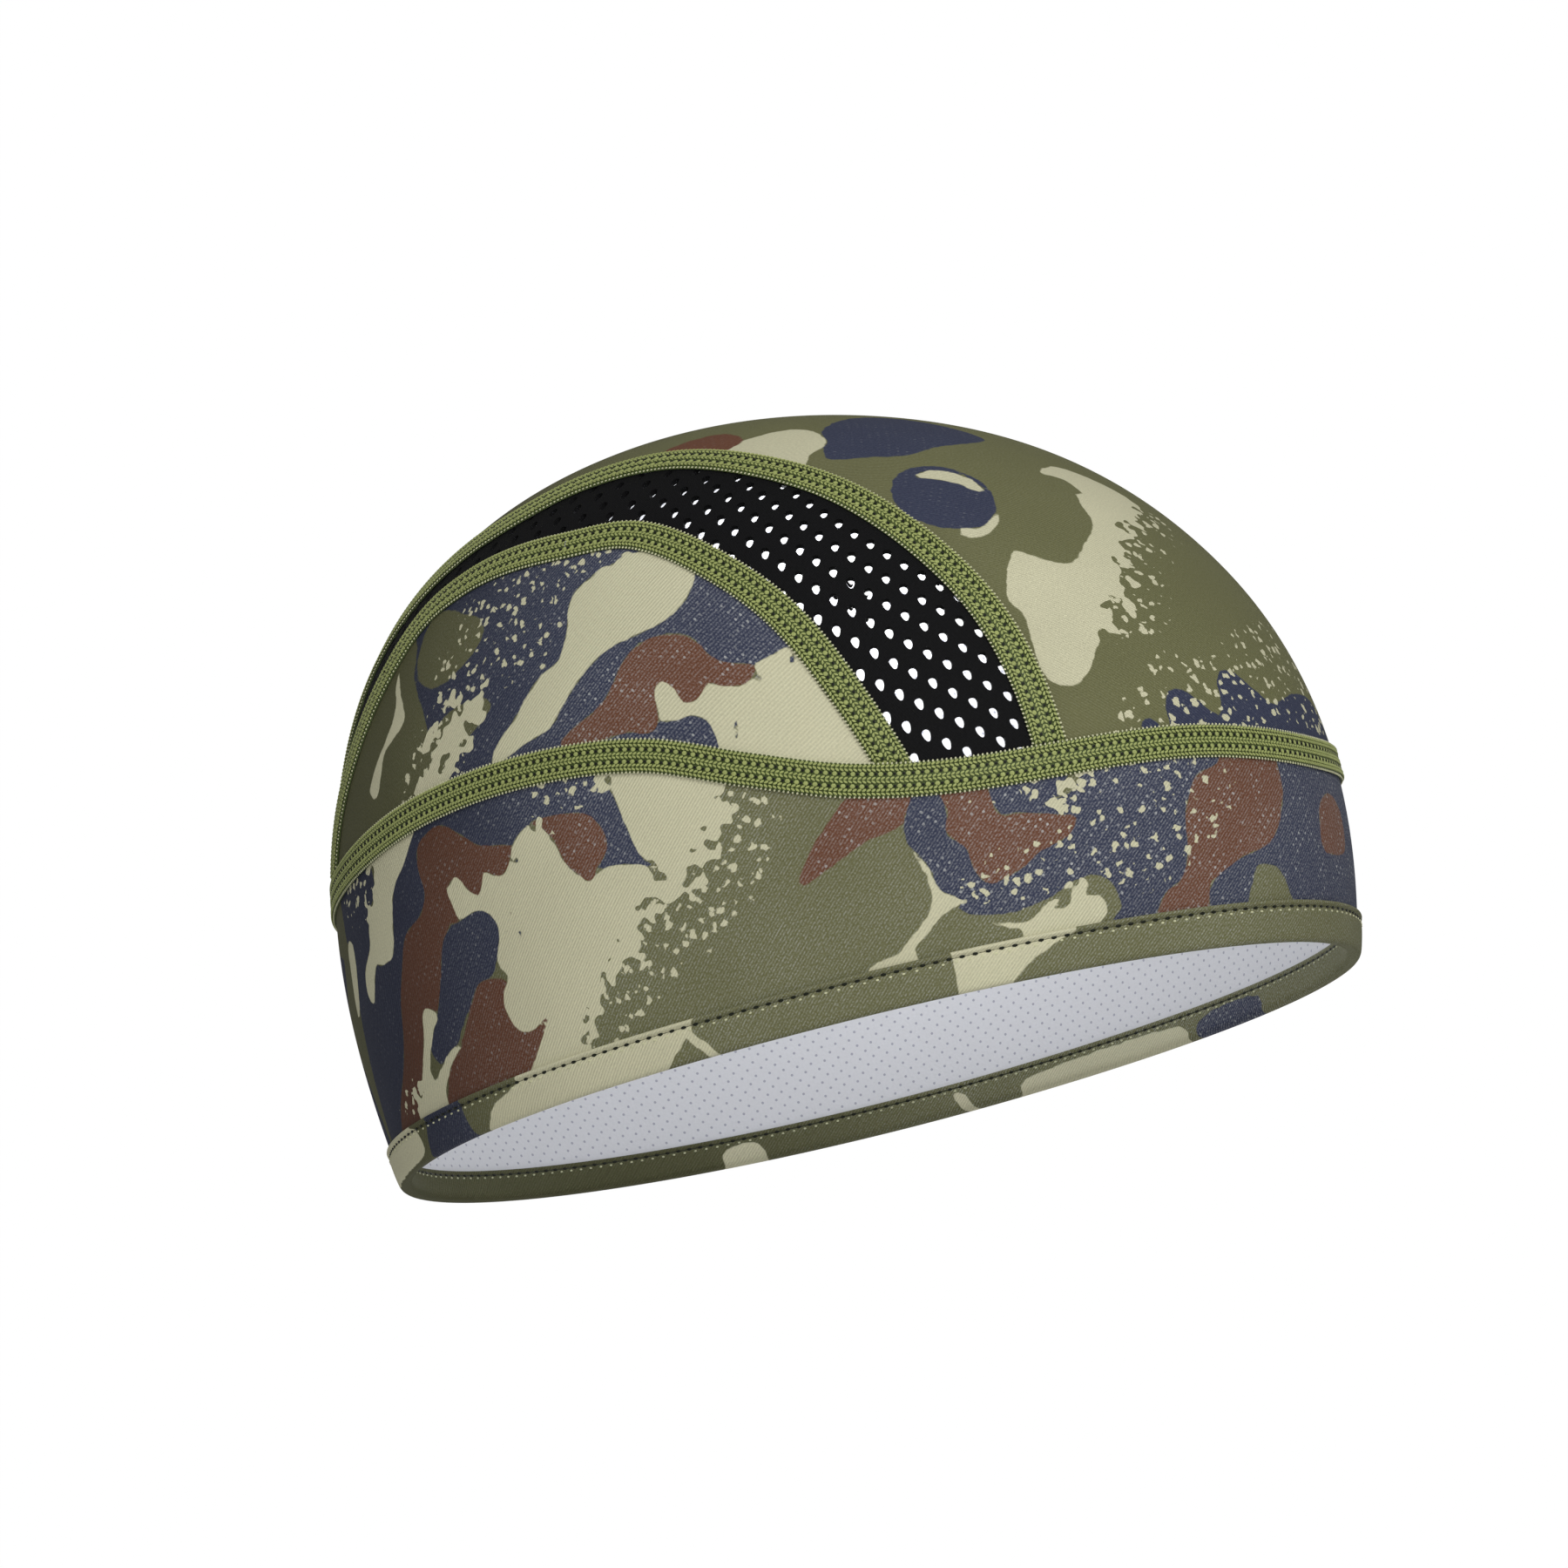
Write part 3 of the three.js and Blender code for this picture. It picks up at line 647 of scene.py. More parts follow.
side_line = seam_arc(side_arc, side_crest)
side_shares = np.linspace(foot_trim, 1 - foot_trim, side_columns)
side_turns = side_arc[0][0] + side_shares * (side_arc[-1][0] - side_arc[0][0])
side_foot = at_height(side_turns, band_edge(side_turns))
side_top = spaced(side_line, side_shares)
side_rise = np.linspace(side_trim, 1 - side_trim, side_rows)[None, :, None]
side_spots = side_foot[:, None] + side_rise * (side_top - side_foot)[:, None]

for side, mirror in (("right", 1), ("left", -1)):
    spots = side_spots * [mirror, 1]
    surface = on_cap(spots)
    steps = np.moveaxis(travelled(np.moveaxis(surface, 1, 0)), 0, 1)
    turns = np.degrees(np.arctan2(side_spots[..., 0], side_spots[..., 1]))
    flat = np.stack([np.interp(turns, band_turns, girth), steps + band_height], -1)
    panel, column, row = laid_sheet(f"side_panel_{side}_cloth", spots, flat)
    places = side_spots[column, row]
    places = places if side == "right" else places * [1, -1] + [0, side_half_turn]
    dye_sheet(panel, dyed(places, side_print, chart_degree))
    give_wall(panel, cloth_wall, knit, knit_reverse)
    sewn_in(panel, "printed_knit", f"side_panel_{side}")

# Centre panel
# The widest piece of printed knit, from the forehead over the crown to the nape, between the
# two outer seams of the mesh. It is blended between its four edges.
centre_crest = 0.902 * crown_height
centre_columns = 340
centre_rows = 110
centre_end_trim = 0.0015
centre_side_trim = 0.002
centre_arc = [(35.3, 0), (36, 0.2), (37.7, 0.385), (41, 0.555), (48.5, 0.76), (59, 0.888), (74, 0.978),
              (92, 1), (108, 0.965), (122, 0.925), (137, 0.84), (150, 0.68), (160, 0.42), (165, 0)]
centre_print = [
    ("cream", [(32.5, 53.5), (34, 51.5), (33.5, 49.5), (32, 47.5), (30.5, 45.5), (30.2, 43.5),
               (28.5, 42.3), (26.5, 41.5), (25, 41.2), (24, 43), (22.8, 45), (21, 46), (18, 45.5),
               (14.5, 44.5), (13, 42.5), (11.5, 41), (10.5, 41.2), (10, 39), (11.5, 37.3), (10.5, 36.8),
               (7.5, 37), (4.5, 40), (3, 43), (6, 45), (9, 46), (12, 47), (15, 48.5), (17, 50), (20, 51.5),
               (24, 52.5), (27, 53), (30, 54)]),
    ("flecks", [(2, 44), (9, 45), (16, 47), (20, 49.5), (25, 51.5), (24, 56), (16, 56), (8, 51), (2, 48)]),
    ("navy", [(25.8, 28.6), (22.4, 28.4), (19.5, 30.9), (19, 34.7), (21.1, 37.2), (24.2, 37.6),
              (26.8, 35.2), (27.8, 31.3)]),
    ("cream", [(22.6, 29.6), (20.9, 30.3), (19.8, 32), (19.4, 33.8), (20.1, 35.5), (20.7, 34.6),
               (20.9, 33.2), (21.7, 31.4)]),
    ("cream", [(26.2, 36), (24.7, 37.6), (22.2, 37.7), (22.7, 38.4), (24.4, 38.5), (26, 37.8),
               (26.9, 36.5)]),
    ("navy", [(9, 30), (12, 30.5), (16, 29), (20, 27.5), (22, 25), (24, 22), (22, 20.5), (18, 19),
              (12, 20), (9, 24)]),
    ("cream", [(20, 19.5), (21.5, 20.6), (24, 20), (26, 19.8), (26.5, 15), (25, 12), (23, 12.5),
               (21.5, 14), (19.5, 16), (19.2, 18)]),
    ("brown", [(22, 13), (24, 12.5), (25.5, 11), (25.5, 7), (23, 6), (20.5, 10)]),
    ("navy", [(27, 70), (25.2, 63.5), (24, 61.5), (22.5, 61), (20.5, 62.5), (18.5, 65.5), (17, 65.5),
              (15.5, 63), (13, 62.5), (10, 65), (7, 67), (0, 66), (-8, 66), (-10, 72)]),
    ("navy", [(29.5, 64.5), (28.6, 61.5), (26.9, 62), (26.8, 65)]),
    ("flecks", [(33, 62), (32, 59), (29, 58), (25, 57.5), (21, 57.5), (17, 59.5), (12, 60), (6, 59),
                (0, 58), (-8, 57), (-14, 58), (-14, 70), (6, 69), (16, 69), (27, 67)]),
]
crown_print = [
    ("navy", [(-2, 12), (-8, 16), (-16, 14), (-19, 8), (-14, 3), (-6, 2), (0, 5)]),
    ("brown", [(-20, 30), (-26, 34), (-33, 31), (-34, 24), (-29, 20), (-24, 22), (-21, 26)]),
    ("cream", [(-12, 27), (-15, 35), (-19, 40), (-23, 38), (-20, 31), (-17, 25), (-13, 22)]),
    ("cream", [(-6, -8), (-2, -14), (3, -17), (7, -16), (9, -21), (4, -25), (-4, -23), (-10, -17),
               (-11, -10)]),
    ("flecks", [(-14, -8), (2, -8), (8, -18), (8, -30), (-6, -30), (-16, -20)]),
    ("navy", [(-28, 4), (-34, 8), (-40, 4), (-40, -6), (-33, -10), (-27, -5)]),
    ("navy", [(8, -34), (13, -38), (20, -41), (23, -48), (18, -54), (8, -50), (3, -42)]),
    ("flecks", [(-30, 44), (-25, 56), (-34, 60), (-42, 50), (-38, 42)]),
]


def centre_spots_at(along, across):
    """Chart spots of the centre panel: along from forehead to nape, across from right to left."""
    right, left = spaced(centre_line, along)[:, None], spaced(centre_line, along)[:, None] * [-1, 1]
    share, side_share = along[:, None, None], across[None, :, None]
    front_turn, back_turn = centre_arc[0][0], centre_arc[-1][0]
    front_turns = front_turn - 2 * front_turn * across
    back_turns = back_turn + (360 - 2 * back_turn) * across
    front, back = (at_height(turns, band_edge(turns)) for turns in (front_turns, back_turns))
    by_ends = front * (1 - share) + back * share
    by_sides = right * (1 - side_share) + left * side_share
    front_corners = front[:1] * (1 - side_share) + front[-1:] * side_share
    back_corners = back[:1] * (1 - side_share) + back[-1:] * side_share
    return by_ends + by_sides - (front_corners * (1 - share) + back_corners * share)


centre_line = seam_arc(centre_arc, centre_crest)
centre_along = np.linspace(centre_end_trim, 1 - centre_end_trim, centre_columns)
centre_across = np.linspace(centre_side_trim, 1 - centre_side_trim, centre_rows)
centre_spots = centre_spots_at(centre_along, centre_across)
surface = on_cap(centre_spots)
middle = surface[:, centre_rows // 2]
crossways = np.moveaxis(travelled(np.moveaxis(surface, 1, 0)), 0, 1)
crossways = crossways - crossways[:, centre_rows // 2, None]
lengthways = np.broadcast_to(travelled(middle)[:, None], crossways.shape)
centre, column, row = laid_sheet("centre_panel_cloth", centre_spots, np.stack([crossways, lengthways], -1))
places = centre_spots[column, row]
prints = [dyed(at, shapes, chart_degree) for at, shapes in
          ((places, centre_print), (-places, centre_print), (places, crown_print))]
dye_sheet(centre, {dye: np.min([fields[dye] for fields in prints], axis=0) for dye in dyes})
dye_sheet(centre, {"slack": np.ones(len(places))})
give_wall(centre, cloth_wall, knit, knit_reverse)
sewn_in(centre, "printed_knit", "centre_panel")

# Mesh panels
# A curved strip of black knitted mesh over each temple, with rows of drop-shaped holes, the
# point of each drop towards the strip's front foot. Its edges lie under the two seams.
mesh_wall = 1.1 * mm
grain = np.array([[2.72, 0.28], [-0.68, 3.0]]) * mm
grain_shift = np.array([0.3, -0.15])
grain_turn = 1.76
hole_length = 2.35 * mm
hole_width = 1.45 * mm
hole_inset = 0.3 * mm
drop_lean = 0.45
rounding_share = 0.917
mesh_edge = 0.2 * mm
spare_mesh = 3 * mm
strip_samples = 240
strip_lanes = 13


def black_knit_mesh():
    """Black polyester mesh, dull, with fine knitted courses between the holes."""
    cloth = Finish("black_knit_mesh", roughness=0.7)
    place = cloth.cloth_place()
    along, up = cloth.cloth_axes()
    fuzz = cloth.noise(place, 0.5 * mm, detail=3.0)
    courses = cloth.waves(along, 0.6 * mm) * cloth.waves(up, 0.5 * mm)
    cloth.surface.inputs["Specular IOR Level"].default_value = 0.08
    cloth.feed("Base Color", cloth.shaded(shade(16, 16, 17), 0.5 + fuzz))
    cloth.bumped(courses * 0.5 + fuzz, 0.1 * mm, 0.7)
    return cloth.material


# The strip is unrolled flat to cut its holes. Its middle line keeps its length, and turns grain_turn
# times as much as on the crown, as the rows of holes in the stretched mesh do; the lanes beside it
# keep their distance and slant.
strip_shares = np.linspace(0, 1, strip_samples)
strip_lower, strip_upper = spaced(side_line, strip_shares), spaced(centre_line, strip_shares)
strip_across = on_cap(strip_upper) - on_cap(strip_lower)
strip_width = np.linalg.norm(strip_across, axis=-1)
strip_middle = on_cap((strip_lower + strip_upper) / 2)
strip_run = travelled(strip_middle)
strip_normal = crown_normal((strip_lower + strip_upper) / 2)
strip_ahead = unit(np.gradient(strip_middle, strip_run, axis=0))
swing = np.cross(strip_ahead, unit(strip_across))
strip_slant = np.arctan2((swing * strip_normal).sum(-1), (strip_ahead * unit(strip_across)).sum(-1))
bending = (np.gradient(strip_ahead, strip_run, axis=0) * np.cross(strip_normal, strip_ahead)).sum(-1)
heading = np.concatenate([[0], np.cumsum((bending[1:] + bending[:-1]) / 2 * np.diff(strip_run))])
heading = grain_turn * heading - strip_slant[0] - math.pi / 2
steps = np.stack([np.cos(heading), np.sin(heading)], -1)
flat_steps = (steps[1:] + steps[:-1]) / 2 * np.diff(strip_run)[:, None]
flat_middle = np.concatenate([[[0, 0]], np.cumsum(flat_steps, 0)])
flat_across = np.stack([np.cos(heading + strip_slant), np.sin(heading + strip_slant)], -1)
drop_axes = np.array([steps[0], [-steps[0, 1], steps[0, 0]]])
lanes = np.linspace(-0.5, 0.5, strip_lanes)[:, None, None] * strip_width[:, None]
flat_strip = flat_middle + lanes * flat_across


def strip_place(flat):
    """Share of the strip's length, and distance across from its middle line, of points on the flat mesh."""
    samples = flat_strip.reshape(-1, 2)
    nearest = np.concatenate([((part[:, None] - samples) ** 2).sum(-1).argmin(1)
                              for part in in_parts(flat, 2000)])
    lane, i = np.divmod(nearest, strip_samples)
    aside = lanes[lane, i, 0]
    forward = np.gradient(flat_middle, strip_run, axis=0)[i]
    forward = forward + aside[:, None] * np.gradient(flat_across, strip_run, axis=0)[i]
    gap, cross = flat - samples[nearest], flat_across[i]
    turn = forward[:, 0] * cross[:, 1] - forward[:, 1] * cross[:, 0]
    ahead = (gap[:, 0] * cross[:, 1] - gap[:, 1] * cross[:, 0]) / turn
    aside = aside + (forward[:, 0] * gap[:, 1] - forward[:, 1] * gap[:, 0]) / turn
    return (strip_run[i] + ahead) / strip_run[-1], aside


def out_of_strip(flat, margin=0.0):
    """Which points of the flat mesh lie more than a margin outside the strip."""
    share, aside = strip_place(flat)
    spare = margin / strip_run[-1]
    wide = np.interp(share, strip_run / strip_run[-1], strip_width)
    reach = wide / 2 + margin
    return np.stack([share < -spare, share > 1 + spare, aside > reach, aside < -reach], -1)


def pick_faces(mesh, chosen):
    """Selects the chosen faces alone and opens the mesh for editing."""
    mesh.vertices.foreach_set("select", np.zeros(len(mesh.vertices), bool))
    mesh.edges.foreach_set("select", np.zeros(len(mesh.edges), bool))
    mesh.polygons.foreach_set("select", np.array(chosen, bool))
    bpy.context.tool_settings.mesh_select_mode = (False, False, True)
    bpy.ops.object.mode_set(mode="EDIT")


def cut_away(piece, outside):
    """Deletes the faces whose corners all lie outside on one side."""
    pick_faces(piece.data, [outside[list(face.vertices)].all(0).any() for face in piece.data.polygons])
    bpy.ops.mesh.delete(type="FACE")
    bpy.ops.object.mode_set(mode="OBJECT")


def pierced_mesh(name):
    """The flat mesh: a checkerboard of cells, every other one with a drop-shaped hole."""
    into_cells = np.linalg.inv(grain)
    reach = flat_strip.reshape(-1, 2) @ into_cells
    first = np.floor(reach.min(0)) - 2
    columns, rows = (np.ceil(reach.max(0)) + 2 - first).astype(int)
    strip = new_grid(columns, rows)
    strip.name = strip.data.name = name
    half = 2 * rounding_share
    places = (vertex_places(strip.data)[:, :2] + 1) / 2 * [columns, rows]
    places = (places + first + grain_shift) @ grain
    strip.data.vertices.foreach_set("co", np.pad(places, ((0, 0), (0, 1))).ravel())
    cut_away(strip, out_of_strip(places, spare_mesh))
    cells = [np.floor(face.center[:2] @ into_cells - grain_shift) for face in strip.data.polygons]
    pick_faces(strip.data, [cell.sum() % 2 == 0 for cell in cells])
    bpy.ops.mesh.inset(thickness=hole_inset, depth=0, use_individual=True)
    bpy.ops.object.mode_set(mode="OBJECT")
    for face in [face for face in strip.data.polygons if face.select]:
        middle = np.array(face.center[:2])
        for corner in face.vertices:
            spot = strip.data.vertices[corner].co
            up_strip, across = drop_axes @ (np.array(spot[:2]) - middle)
            ahead = math.copysign(1, up_strip)
            aside = math.copysign(1 + ahead * drop_lean, across)
            from_middle = ahead * hole_length * drop_axes[0] + aside * hole_width * drop_axes[1]
            spot.xy = middle + from_middle / half
    bpy.ops.object.mode_set(mode="EDIT")
    bpy.ops.mesh.delete(type="FACE")
    bpy.ops.object.mode_set(mode="OBJECT")
    rounding = strip.modifiers.new("rounding", "SUBSURF")
    rounding.levels = rounding.render_levels = 2
    bpy.ops.object.modifier_apply(modifier=rounding.name)
    cut_away(strip, out_of_strip(vertex_places(strip.data)[:, :2]))
    return strip


mesh_knit = black_knit_mesh()

strips = {"right": pierced_mesh("mesh_panel_right_cloth")}
bpy.ops.object.duplicate()
strips["left"] = bpy.context.object
strips["left"].name = strips["left"].data.name = "mesh_panel_left_cloth"
places = vertex_places(strips["right"].data)[:, :2]
share, aside = strip_place(places)
share = np.clip(share, 0, 1)
width = np.interp(share, strip_run / strip_run[-1], strip_width)
share = np.interp(share, strip_run / strip_run[-1], strip_shares)
part = np.clip(0.5 + aside / width, mesh_edge / width, 1 - mesh_edge / width)[:, None]
strip_spots = spaced(side_line, share) * (1 - part) + spaced(centre_line, share) * part

for side, mirror in (("right", 1), ("left", -1)):
    strip = strips[side]
    bpy.ops.object.select_all(action="DESELECT")
    strip.select_set(True)
    bpy.context.view_layer.objects.active = strip
    spots = strip_spots * [mirror, 1]
    fit_cloth(strip.data, on_cap(spots), places)
    outward = crown_normal(spots)
    if sum(np.dot(face.normal, outward[face.vertices[0]]) for face in strip.data.polygons) < 0:
        strip.data.flip_normals()
    bpy.ops.object.mode_set(mode="EDIT")
    bpy.ops.mesh.select_all(action="SELECT")
    bpy.ops.mesh.remove_doubles(threshold=weld_gap)
    bpy.ops.mesh.dissolve_degenerate(threshold=weld_gap)
    bpy.ops.object.mode_set(mode="OBJECT")
    give_wall(strip, mesh_wall, mesh_knit, knit_reverse, even=False)
    sewn_in(strip, "black_mesh", f"mesh_panel_{side}")

# Flat seams
# Every panel edge is butted and covered by a flat-lock seam of green polyester thread, three
# raised ropes with rows of needle gaps between them, the gaps dark grains of painted shade. The upper seams
# run in under the band seam.
seam_width = 5.9
seam_base = 0.45 * mm
seam_top = 0.78
stitch_pitch = 1.6 * mm
strand_lean = 32
rung_place = 1.08
seam_samples = 400
base_rise = [(-3, 0.1), (-2.7, 0.55), (-1.1, 0.5), (0, 0.7), (1.1, 0.5), (2.7, 0.55), (3, 0.1)]
inner_rise = [(-2.6, -1.2), (-1.7, -1.45), (-0.9, -1.25), (0, -1.45), (0.9, -1.25), (1.7, -1.45),
              (2.6, -1.2)]
dip_start = 3.4 * mm
dip_end = 2.4 * mm
dipped_height = 0.05


def polyester_thread(name, colour, depth=0.05 * mm):
    """Twisted thread with a soft shine; the strands vary a little in shade."""
    thread = Finish(name, roughness=0.5, sheen=0.1)
    place = thread.node("ShaderNodeTexCoord", out=3)
    cloud = thread.noise(place, 1.2 * mm, detail=2.0)
    strands = thread.noise(place, 0.25 * mm, detail=2.0)
    thread.feed("Base Color", thread.shaded(colour, 0.6 + 0.5 * cloud + 0.3 * strands))
    thread.bumped(strands, depth, 0.6)
    return thread.material


def route_over(spots, closed=False):
    """Points, outward directions and crossways directions of a seam line, with the distance run."""
    points, outward = on_cap(spots), crown_normal(spots)
    if closed:
        ahead = np.roll(points, -1, 0) - np.roll(points, 1, 0)
        points, outward, ahead = (np.concatenate([part, part[:1]]) for part in (points, outward, ahead))
    else:
        ahead = np.gradient(points, axis=0)
    return travelled(points), points, outward, unit(np.cross(outward, ahead))


def bend_over(strip, route, stretch, meets):
    """Bends a flat strip over a seam line: x runs along it, y across and z above the cloth."""
    run, points, outward, across = route
    x, y, z = vertex_places(strip.data).T
    place, up, aside = (np.stack([np.interp(x * stretch, run, part[:, axis]) for axis in range(3)], -1)
                        for part in (points, outward, across))
    flat = place + unit(aside) * y[:, None]
    if meets is not None:
        near = np.concatenate([np.linalg.norm(part[:, None] - meets, axis=-1).min(1)
                               for part in in_parts(flat)])
        z = z * np.clip((near - dip_end) / (dip_start - dip_end), dipped_height, 1)
    strip.data.vertices.foreach_set("co", (flat + up * z[:, None]).ravel())
    strip.data.update()


thread_green = polyester_thread("seam_thread_green", shade(150, 158, 96))
thread_shadow = polyester_thread("seam_thread_shadow", shade(70, 82, 40))
pale_thread = polyester_thread("pale_thread", shade(196, 196, 160))
inner_thread = polyester_thread("inner_thread", shade(205, 207, 205), 0.08 * mm)
# Painted shade: near-black thread laid as grains in the needle gaps and holes, where the shade falls.
needle_hole_shade = polyester_thread("needle_hole_shade", shade(22, 25, 14))
groove_shadow = polyester_thread("groove_shadow", shade(52, 54, 38))


def joined(parts):
    """The parts as one piece, under the name of the first."""
    bpy.ops.object.select_all(action="DESELECT")
    for part in parts:
        part.select_set(True)
    bpy.context.view_layer.objects.active = parts[0]
    if len(parts) > 1:
        bpy.ops.object.join()
    return parts[0]


def stitch_cell(loops, pitch):
    """One repeat of a row of stitches, lying flat; each loop is a place along the pitch, a distance aside
    and above, a length, a width and a lean in millimetres and degrees, and its thread."""
    bpy.ops.object.select_all(action="DESELECT")
    threads = []
    for place, aside, above, length, width, lean, finish in loops:
        bpy.ops.mesh.primitive_uv_sphere_add(segments=6, ring_count=3, radius=0.5)
        thread = bpy.context.object
        thread.scale = (length * mm, width * mm, 0.7 * width * mm)
        thread.rotation_euler.z = math.radians(lean)
        thread.location = (place * pitch, aside * mm, above * mm)
        thread.data.materials.append(finish)
        threads.append(thread)
    for thread in threads:
        thread.select_set(True)
    bpy.ops.object.transform_apply(location=True, rotation=True, scale=True)
    bpy.ops.object.join()
    return bpy.context.object


def base_strip(section, count, pitch, finish):
    """A flat strip under or over a row of stitches; its section is a distance aside and above."""
    strip = new_grid(count, len(section) - 1)
    for vertex in strip.data.vertices:
        aside, above = section[round((vertex.co.y + 1) / 2 * (len(section) - 1))]
        vertex.co = ((vertex.co.x + 1) / 2 * count * pitch, aside * mm, above * mm)
    strip.data.materials.append(finish)
    solidify = strip.modifiers.new("wall", "SOLIDIFY")
    solidify.thickness = seam_base
    solidify.offset = -1 if section[0][1] > 0 else 1
    bpy.ops.object.modifier_apply(modifier=solidify.name)
    return strip


def stitch_row(name, loops, pitch, route, meets=None, bases=()):
    """Repeats a cell of stitches along a route, with the base strips that it is sewn on."""
    length = route[0][-1]
    count = round(length / pitch)
    row = stitch_cell(loops, pitch)
    row.name = row.data.name = name
    repeat = row.modifiers.new("repeat", "ARRAY")
    repeat.count = count
    repeat.use_relative_offset = False
    repeat.use_constant_offset = True
    repeat.constant_offset_displace = (pitch, 0, 0)
    bpy.ops.object.modifier_apply(modifier=repeat.name)
    row = joined([row, *(base_strip(section, count, pitch, finish) for section, finish in bases)])
    bend_over(row, route, length / (count * pitch), meets)
    bpy.ops.object.shade_smooth_by_angle(angle=math.radians(60))
    return row


# Each rope's place across the seam, how far its two strands lie from there, and their width.
ropes = ((-2.1, 0.33, 0.5), (0, 0.3, 0.46), (2.1, 0.33, 0.5))
half_stitches = (0.25, 0.75)

seam_loops = []
for rope, half, width in ropes:
    for strand, lean in ((-half, strand_lean), (half, -strand_lean)):
        for place in half_stitches:
            seam_loops.append((place, rope + strand, seam_top, 1.0, width, lean, thread_green))
for rung in (-rung_place, rung_place):
    seam_loops.append((0.5, rung, seam_top - 0.3, 1.0, 1.05, 90, thread_green))
    # A dark grain in each needle gap, as painted shade.
    seam_loops.append((0, rung, seam_top - 0.12, 0.62, 0.6, 0, needle_hole_shade))
for edge in (-seam_width / 2, seam_width / 2):
    for place in half_stitches:
        seam_loops.append((place, edge, seam_top - 0.35, 0.55, 0.4, 75, pale_thread))
seam_bases = ((base_rise, thread_shadow), (inner_rise, inner_thread))
band_seam_spots = at_height(band_turns[:-1], band_edge(band_turns[:-1]))
band_seam_line = on_cap(band_seam_spots)
seam = stitch_row("band_seam_stitches", seam_loops, stitch_pitch, route_over(band_seam_spots, closed=True),
                  bases=seam_bases)
sewn_in(seam, "seam_thread", "band_seam")

for side, mirror in (("right", 1), ("left", -1)):
    for name, line in (("inner", side_line), ("outer", centre_line)):
        spots = spaced(line, np.linspace(0, 1, seam_samples)) * [mirror, 1]
        seam = stitch_row(f"{name}_mesh_seam_{side}_stitches", seam_loops, stitch_pitch, route_over(spots),
                          meets=band_seam_line, bases=seam_bases)
        sewn_in(seam, "seam_thread", f"{name}_mesh_seam_{side}")

# Rim binding
# A strip of the same printed knit folded round the band's raw edge and sewn down just under its
# upper edge with lockstitch that shows on both faces; the inner leg is a little shorter.
binding_columns = 520
binding_wall = 0.6 * mm
binding_top = 7.15 * mm
lockstitch_pitch = 2.3 * mm
binding_section = [(-0.05, 7.1), (-0.4, 7.25), (-0.78, 7.12), (-0.85, 6.72), (-0.36, 6.15), (-0.7, 5.6),
                   (-0.84, 4.6), (-0.82, 2.4), (-0.72, 0.9), (-0.4, 0.25), (0.1, 0.02), (0.6, 0),
                   (1.15, 0.02), (1.6, 0.25), (1.92, 0.9), (2.0, 2.4), (1.95, 4.4), (1.72, 4.9),
                   (1.92, 5.4), (1.85, 5.85)]
binding_print = [
    ("cream", [(122, -6), (121, 2), (115, 5), (112, 12), (85, 12), (85.6, 4.8), (86.4, 3.3), (91.5, -2),
               (95, -6)]),
    ("cream", [(85.5, 12), (85.3, 4.5), (83.5, 1), (80, -6), (82, -6), (84.5, 0), (86.2, 3.2), (87, 12)]),
    ("cream", [(49.2, -6), (50, 3), (49, 12), (36.5, 12), (36, 6), (37.5, 4.8), (41, 2.2), (43.5, -1),
               (44, -6)]),
    ("navy", [(138, -6), (136.5, 3), (134, 12), (128, 12), (126.5, 3), (126, -6)]),
    ("cream", [(166, 0), (167, 4), (164, 12), (146, 12), (143, 8), (139, 4), (140, 0), (152, -0.8)]),
]

binding_turns = np.linspace(0, 360, binding_columns + 1)
binding_profile = np.maximum(drawn_line(binding_section, 2), [-2, 0]) * mm
binding_run = travelled(binding_profile)
turn_grid, height_grid = np.meshgrid(binding_turns, binding_profile[:, 1], indexing="ij")
binding_spots = at_height(turn_grid, height_grid)
binding_depth = np.broadcast_to(binding_profile[:, 0], turn_grid.shape)
binding_girth = np.interp(binding_turns, band_turns, girth)
binding_flat = np.stack(np.meshgrid(binding_girth, binding_top - binding_run, indexing="ij"), -1)
binding, column, row = laid_sheet("edge_binding_cloth", binding_spots, binding_flat, binding_depth)
binding_places = np.stack([turn_grid[column, row], (binding_top - binding_run[row]) / mm], -1)
dye_sheet(binding, dyed(binding_places, binding_print, np.array([band_degree, 1]), band_repeat))
weld_ring()
lowest = min(binding.data.polygons, key=lambda face: face.center.z)
if lowest.normal.z > 0:
    binding.data.flip_normals()
give_wall(binding, binding_wall, knit, knit)

# The height of each row above the rim, how far out from the band it lies, and the way it faces.
lockstitch_rows = ((6.15, 0.42, 1), (4.9, -1.76, -1))
groove_half_width = 0.16
# The first loop is a dark grain of painted shade in the needle hole, the second the pale thread.
lockstitch = [(0.3, 0, 0, 1.2, 0.7, 0, needle_hole_shade), (0.8, 0.66, 0.36, 0.65, 0.42, 0, pale_thread)]
rows = [binding]
for height, out, face in lockstitch_rows:
    loops = [(place, aside, out + face * above, *shape) for place, aside, above, *shape in lockstitch]
    groove = ([(-groove_half_width, out - 0.03), (groove_half_width, out - 0.03)], groove_shadow)
    route = route_over(at_height(binding_turns[:-1], height * mm), closed=True)
    rows.append(stitch_row("lockstitches", loops, lockstitch_pitch, route, bases=[groove]))
sewn_in(joined(rows), "rim_binding", "edge_binding")

# Studio
# A pale floor far below, a white backdrop, soft light from the front right, a small lamp inside the
# crown, and a camera low beside the cap.
photo_frame = 1800
photo_scale = 6.1813 / mm
camera_azimuth = math.radians(-62.99)
camera_elevation = math.radians(-5.85)
camera_distance = 955.25 * mm
aim_right = -13.36 * mm
aim_up = 55.86 * mm
floor_height = -600 * mm
cap_middle = np.array([0, 0, -70 * mm])


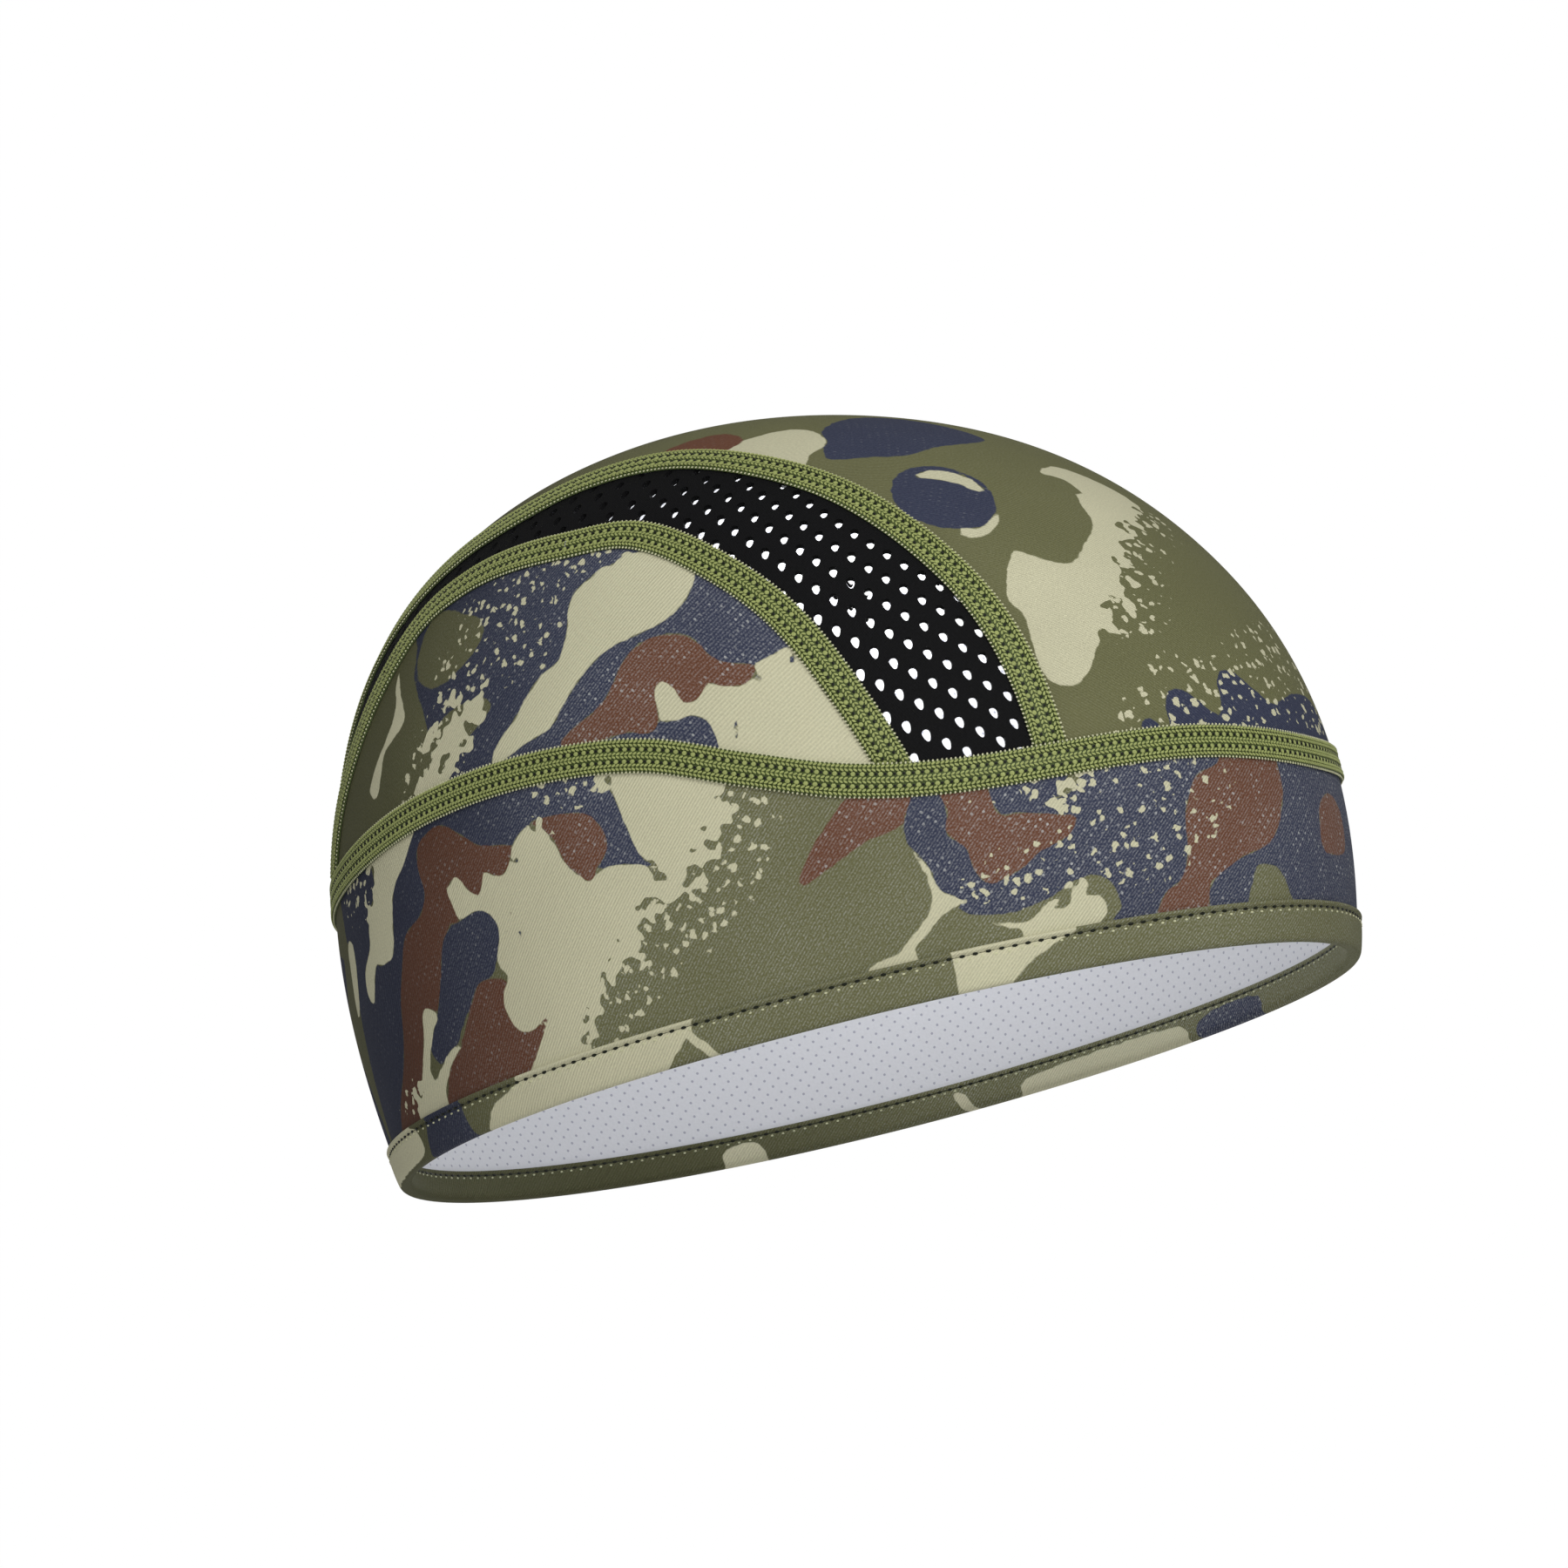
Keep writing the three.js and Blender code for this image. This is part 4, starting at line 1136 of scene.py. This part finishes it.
def faced(right, above, back, place):
    """The turn and place of a camera or lamp that looks away from its back."""
    rows = [[*axes, spot] for axes, spot in zip(np.stack([right, above, back], 1), place)]
    return Matrix(rows + [[0, 0, 0, 1]])


back = np.array([math.sin(camera_azimuth) * math.cos(camera_elevation),
                 -math.cos(camera_azimuth) * math.cos(camera_elevation), math.sin(camera_elevation)])
right = unit(np.cross(-back, [0, 0, 1.0]))
above = np.cross(right, -back)
aim = right * aim_right + above * aim_up - seat
bpy.ops.object.camera_add(location=aim + back * camera_distance)
camera = bpy.context.object
camera.matrix_world = faced(right, above, back, aim + back * camera_distance)
camera.data.sensor_width = 36
camera.data.lens = camera.data.sensor_width * photo_scale * camera_distance / photo_frame
bpy.context.scene.camera = camera

bpy.ops.object.select_all(action="DESELECT")
bpy.ops.mesh.primitive_plane_add(size=12, location=(0, 0, floor_height))
floor = bpy.context.object
floor.name = "floor"
floor_finish = Finish("pale_floor", roughness=0.9)
floor_finish.surface.inputs["Base Color"].default_value = shade(240, 240, 240)
floor.data.materials.append(floor_finish.material)

bpy.ops.mesh.primitive_uv_sphere_add(segments=32, ring_count=16, radius=20)
backdrop = bpy.context.object
backdrop.name = "backdrop"
backdrop_finish = Finish("white_backdrop", roughness=1)
backdrop_finish.surface.inputs["Base Color"].default_value = (0, 0, 0, 1)
backdrop_finish.surface.inputs["Emission Color"].default_value = (1, 1, 1, 1)
backdrop_finish.surface.inputs["Emission Strength"].default_value = 1
backdrop.data.materials.append(backdrop_finish.material)
backdrop.visible_diffuse = backdrop.visible_glossy = backdrop.visible_shadow = False

world = bpy.data.worlds.new("studio")
world.use_nodes = True
world.node_tree.nodes["Background"].inputs["Color"].default_value = (1, 1, 1, 1)
world.node_tree.nodes["Background"].inputs["Strength"].default_value = 0.3
bpy.context.scene.world = world


def softbox(name, azimuth, elevation, distance, size, power):
    """A soft light that faces the cap."""
    a, e = math.radians(azimuth), math.radians(elevation)
    away = np.array([math.sin(a) * math.cos(e), -math.cos(a) * math.cos(e), math.sin(e)])
    bpy.ops.object.light_add(type="AREA", location=cap_middle + away * distance)
    lamp = bpy.context.object
    lamp.name = name
    lamp.data.size = size
    lamp.data.energy = power
    lamp.visible_camera = False
    across = unit(np.cross([0, 0, 1.0], away))
    lamp.matrix_world = faced(across, np.cross(away, across), away, cap_middle + away * distance)


softbox("key_light", azimuth=-48, elevation=28, distance=1.6, size=0.9, power=18)
softbox("fill_light", azimuth=-105, elevation=10, distance=1.8, size=1.4, power=2.5)
softbox("under_light", azimuth=-50, elevation=-55, distance=1.2, size=0.8, power=3)

bpy.ops.object.light_add(type="POINT", location=(36 * mm, 25 * mm, -40 * mm))
inner_lamp = bpy.context.object
inner_lamp.name = "inner_light"
inner_lamp.data.shadow_soft_size = 20 * mm
inner_lamp.data.energy = 0.1

bpy.context.scene.view_settings.view_transform = "Standard"
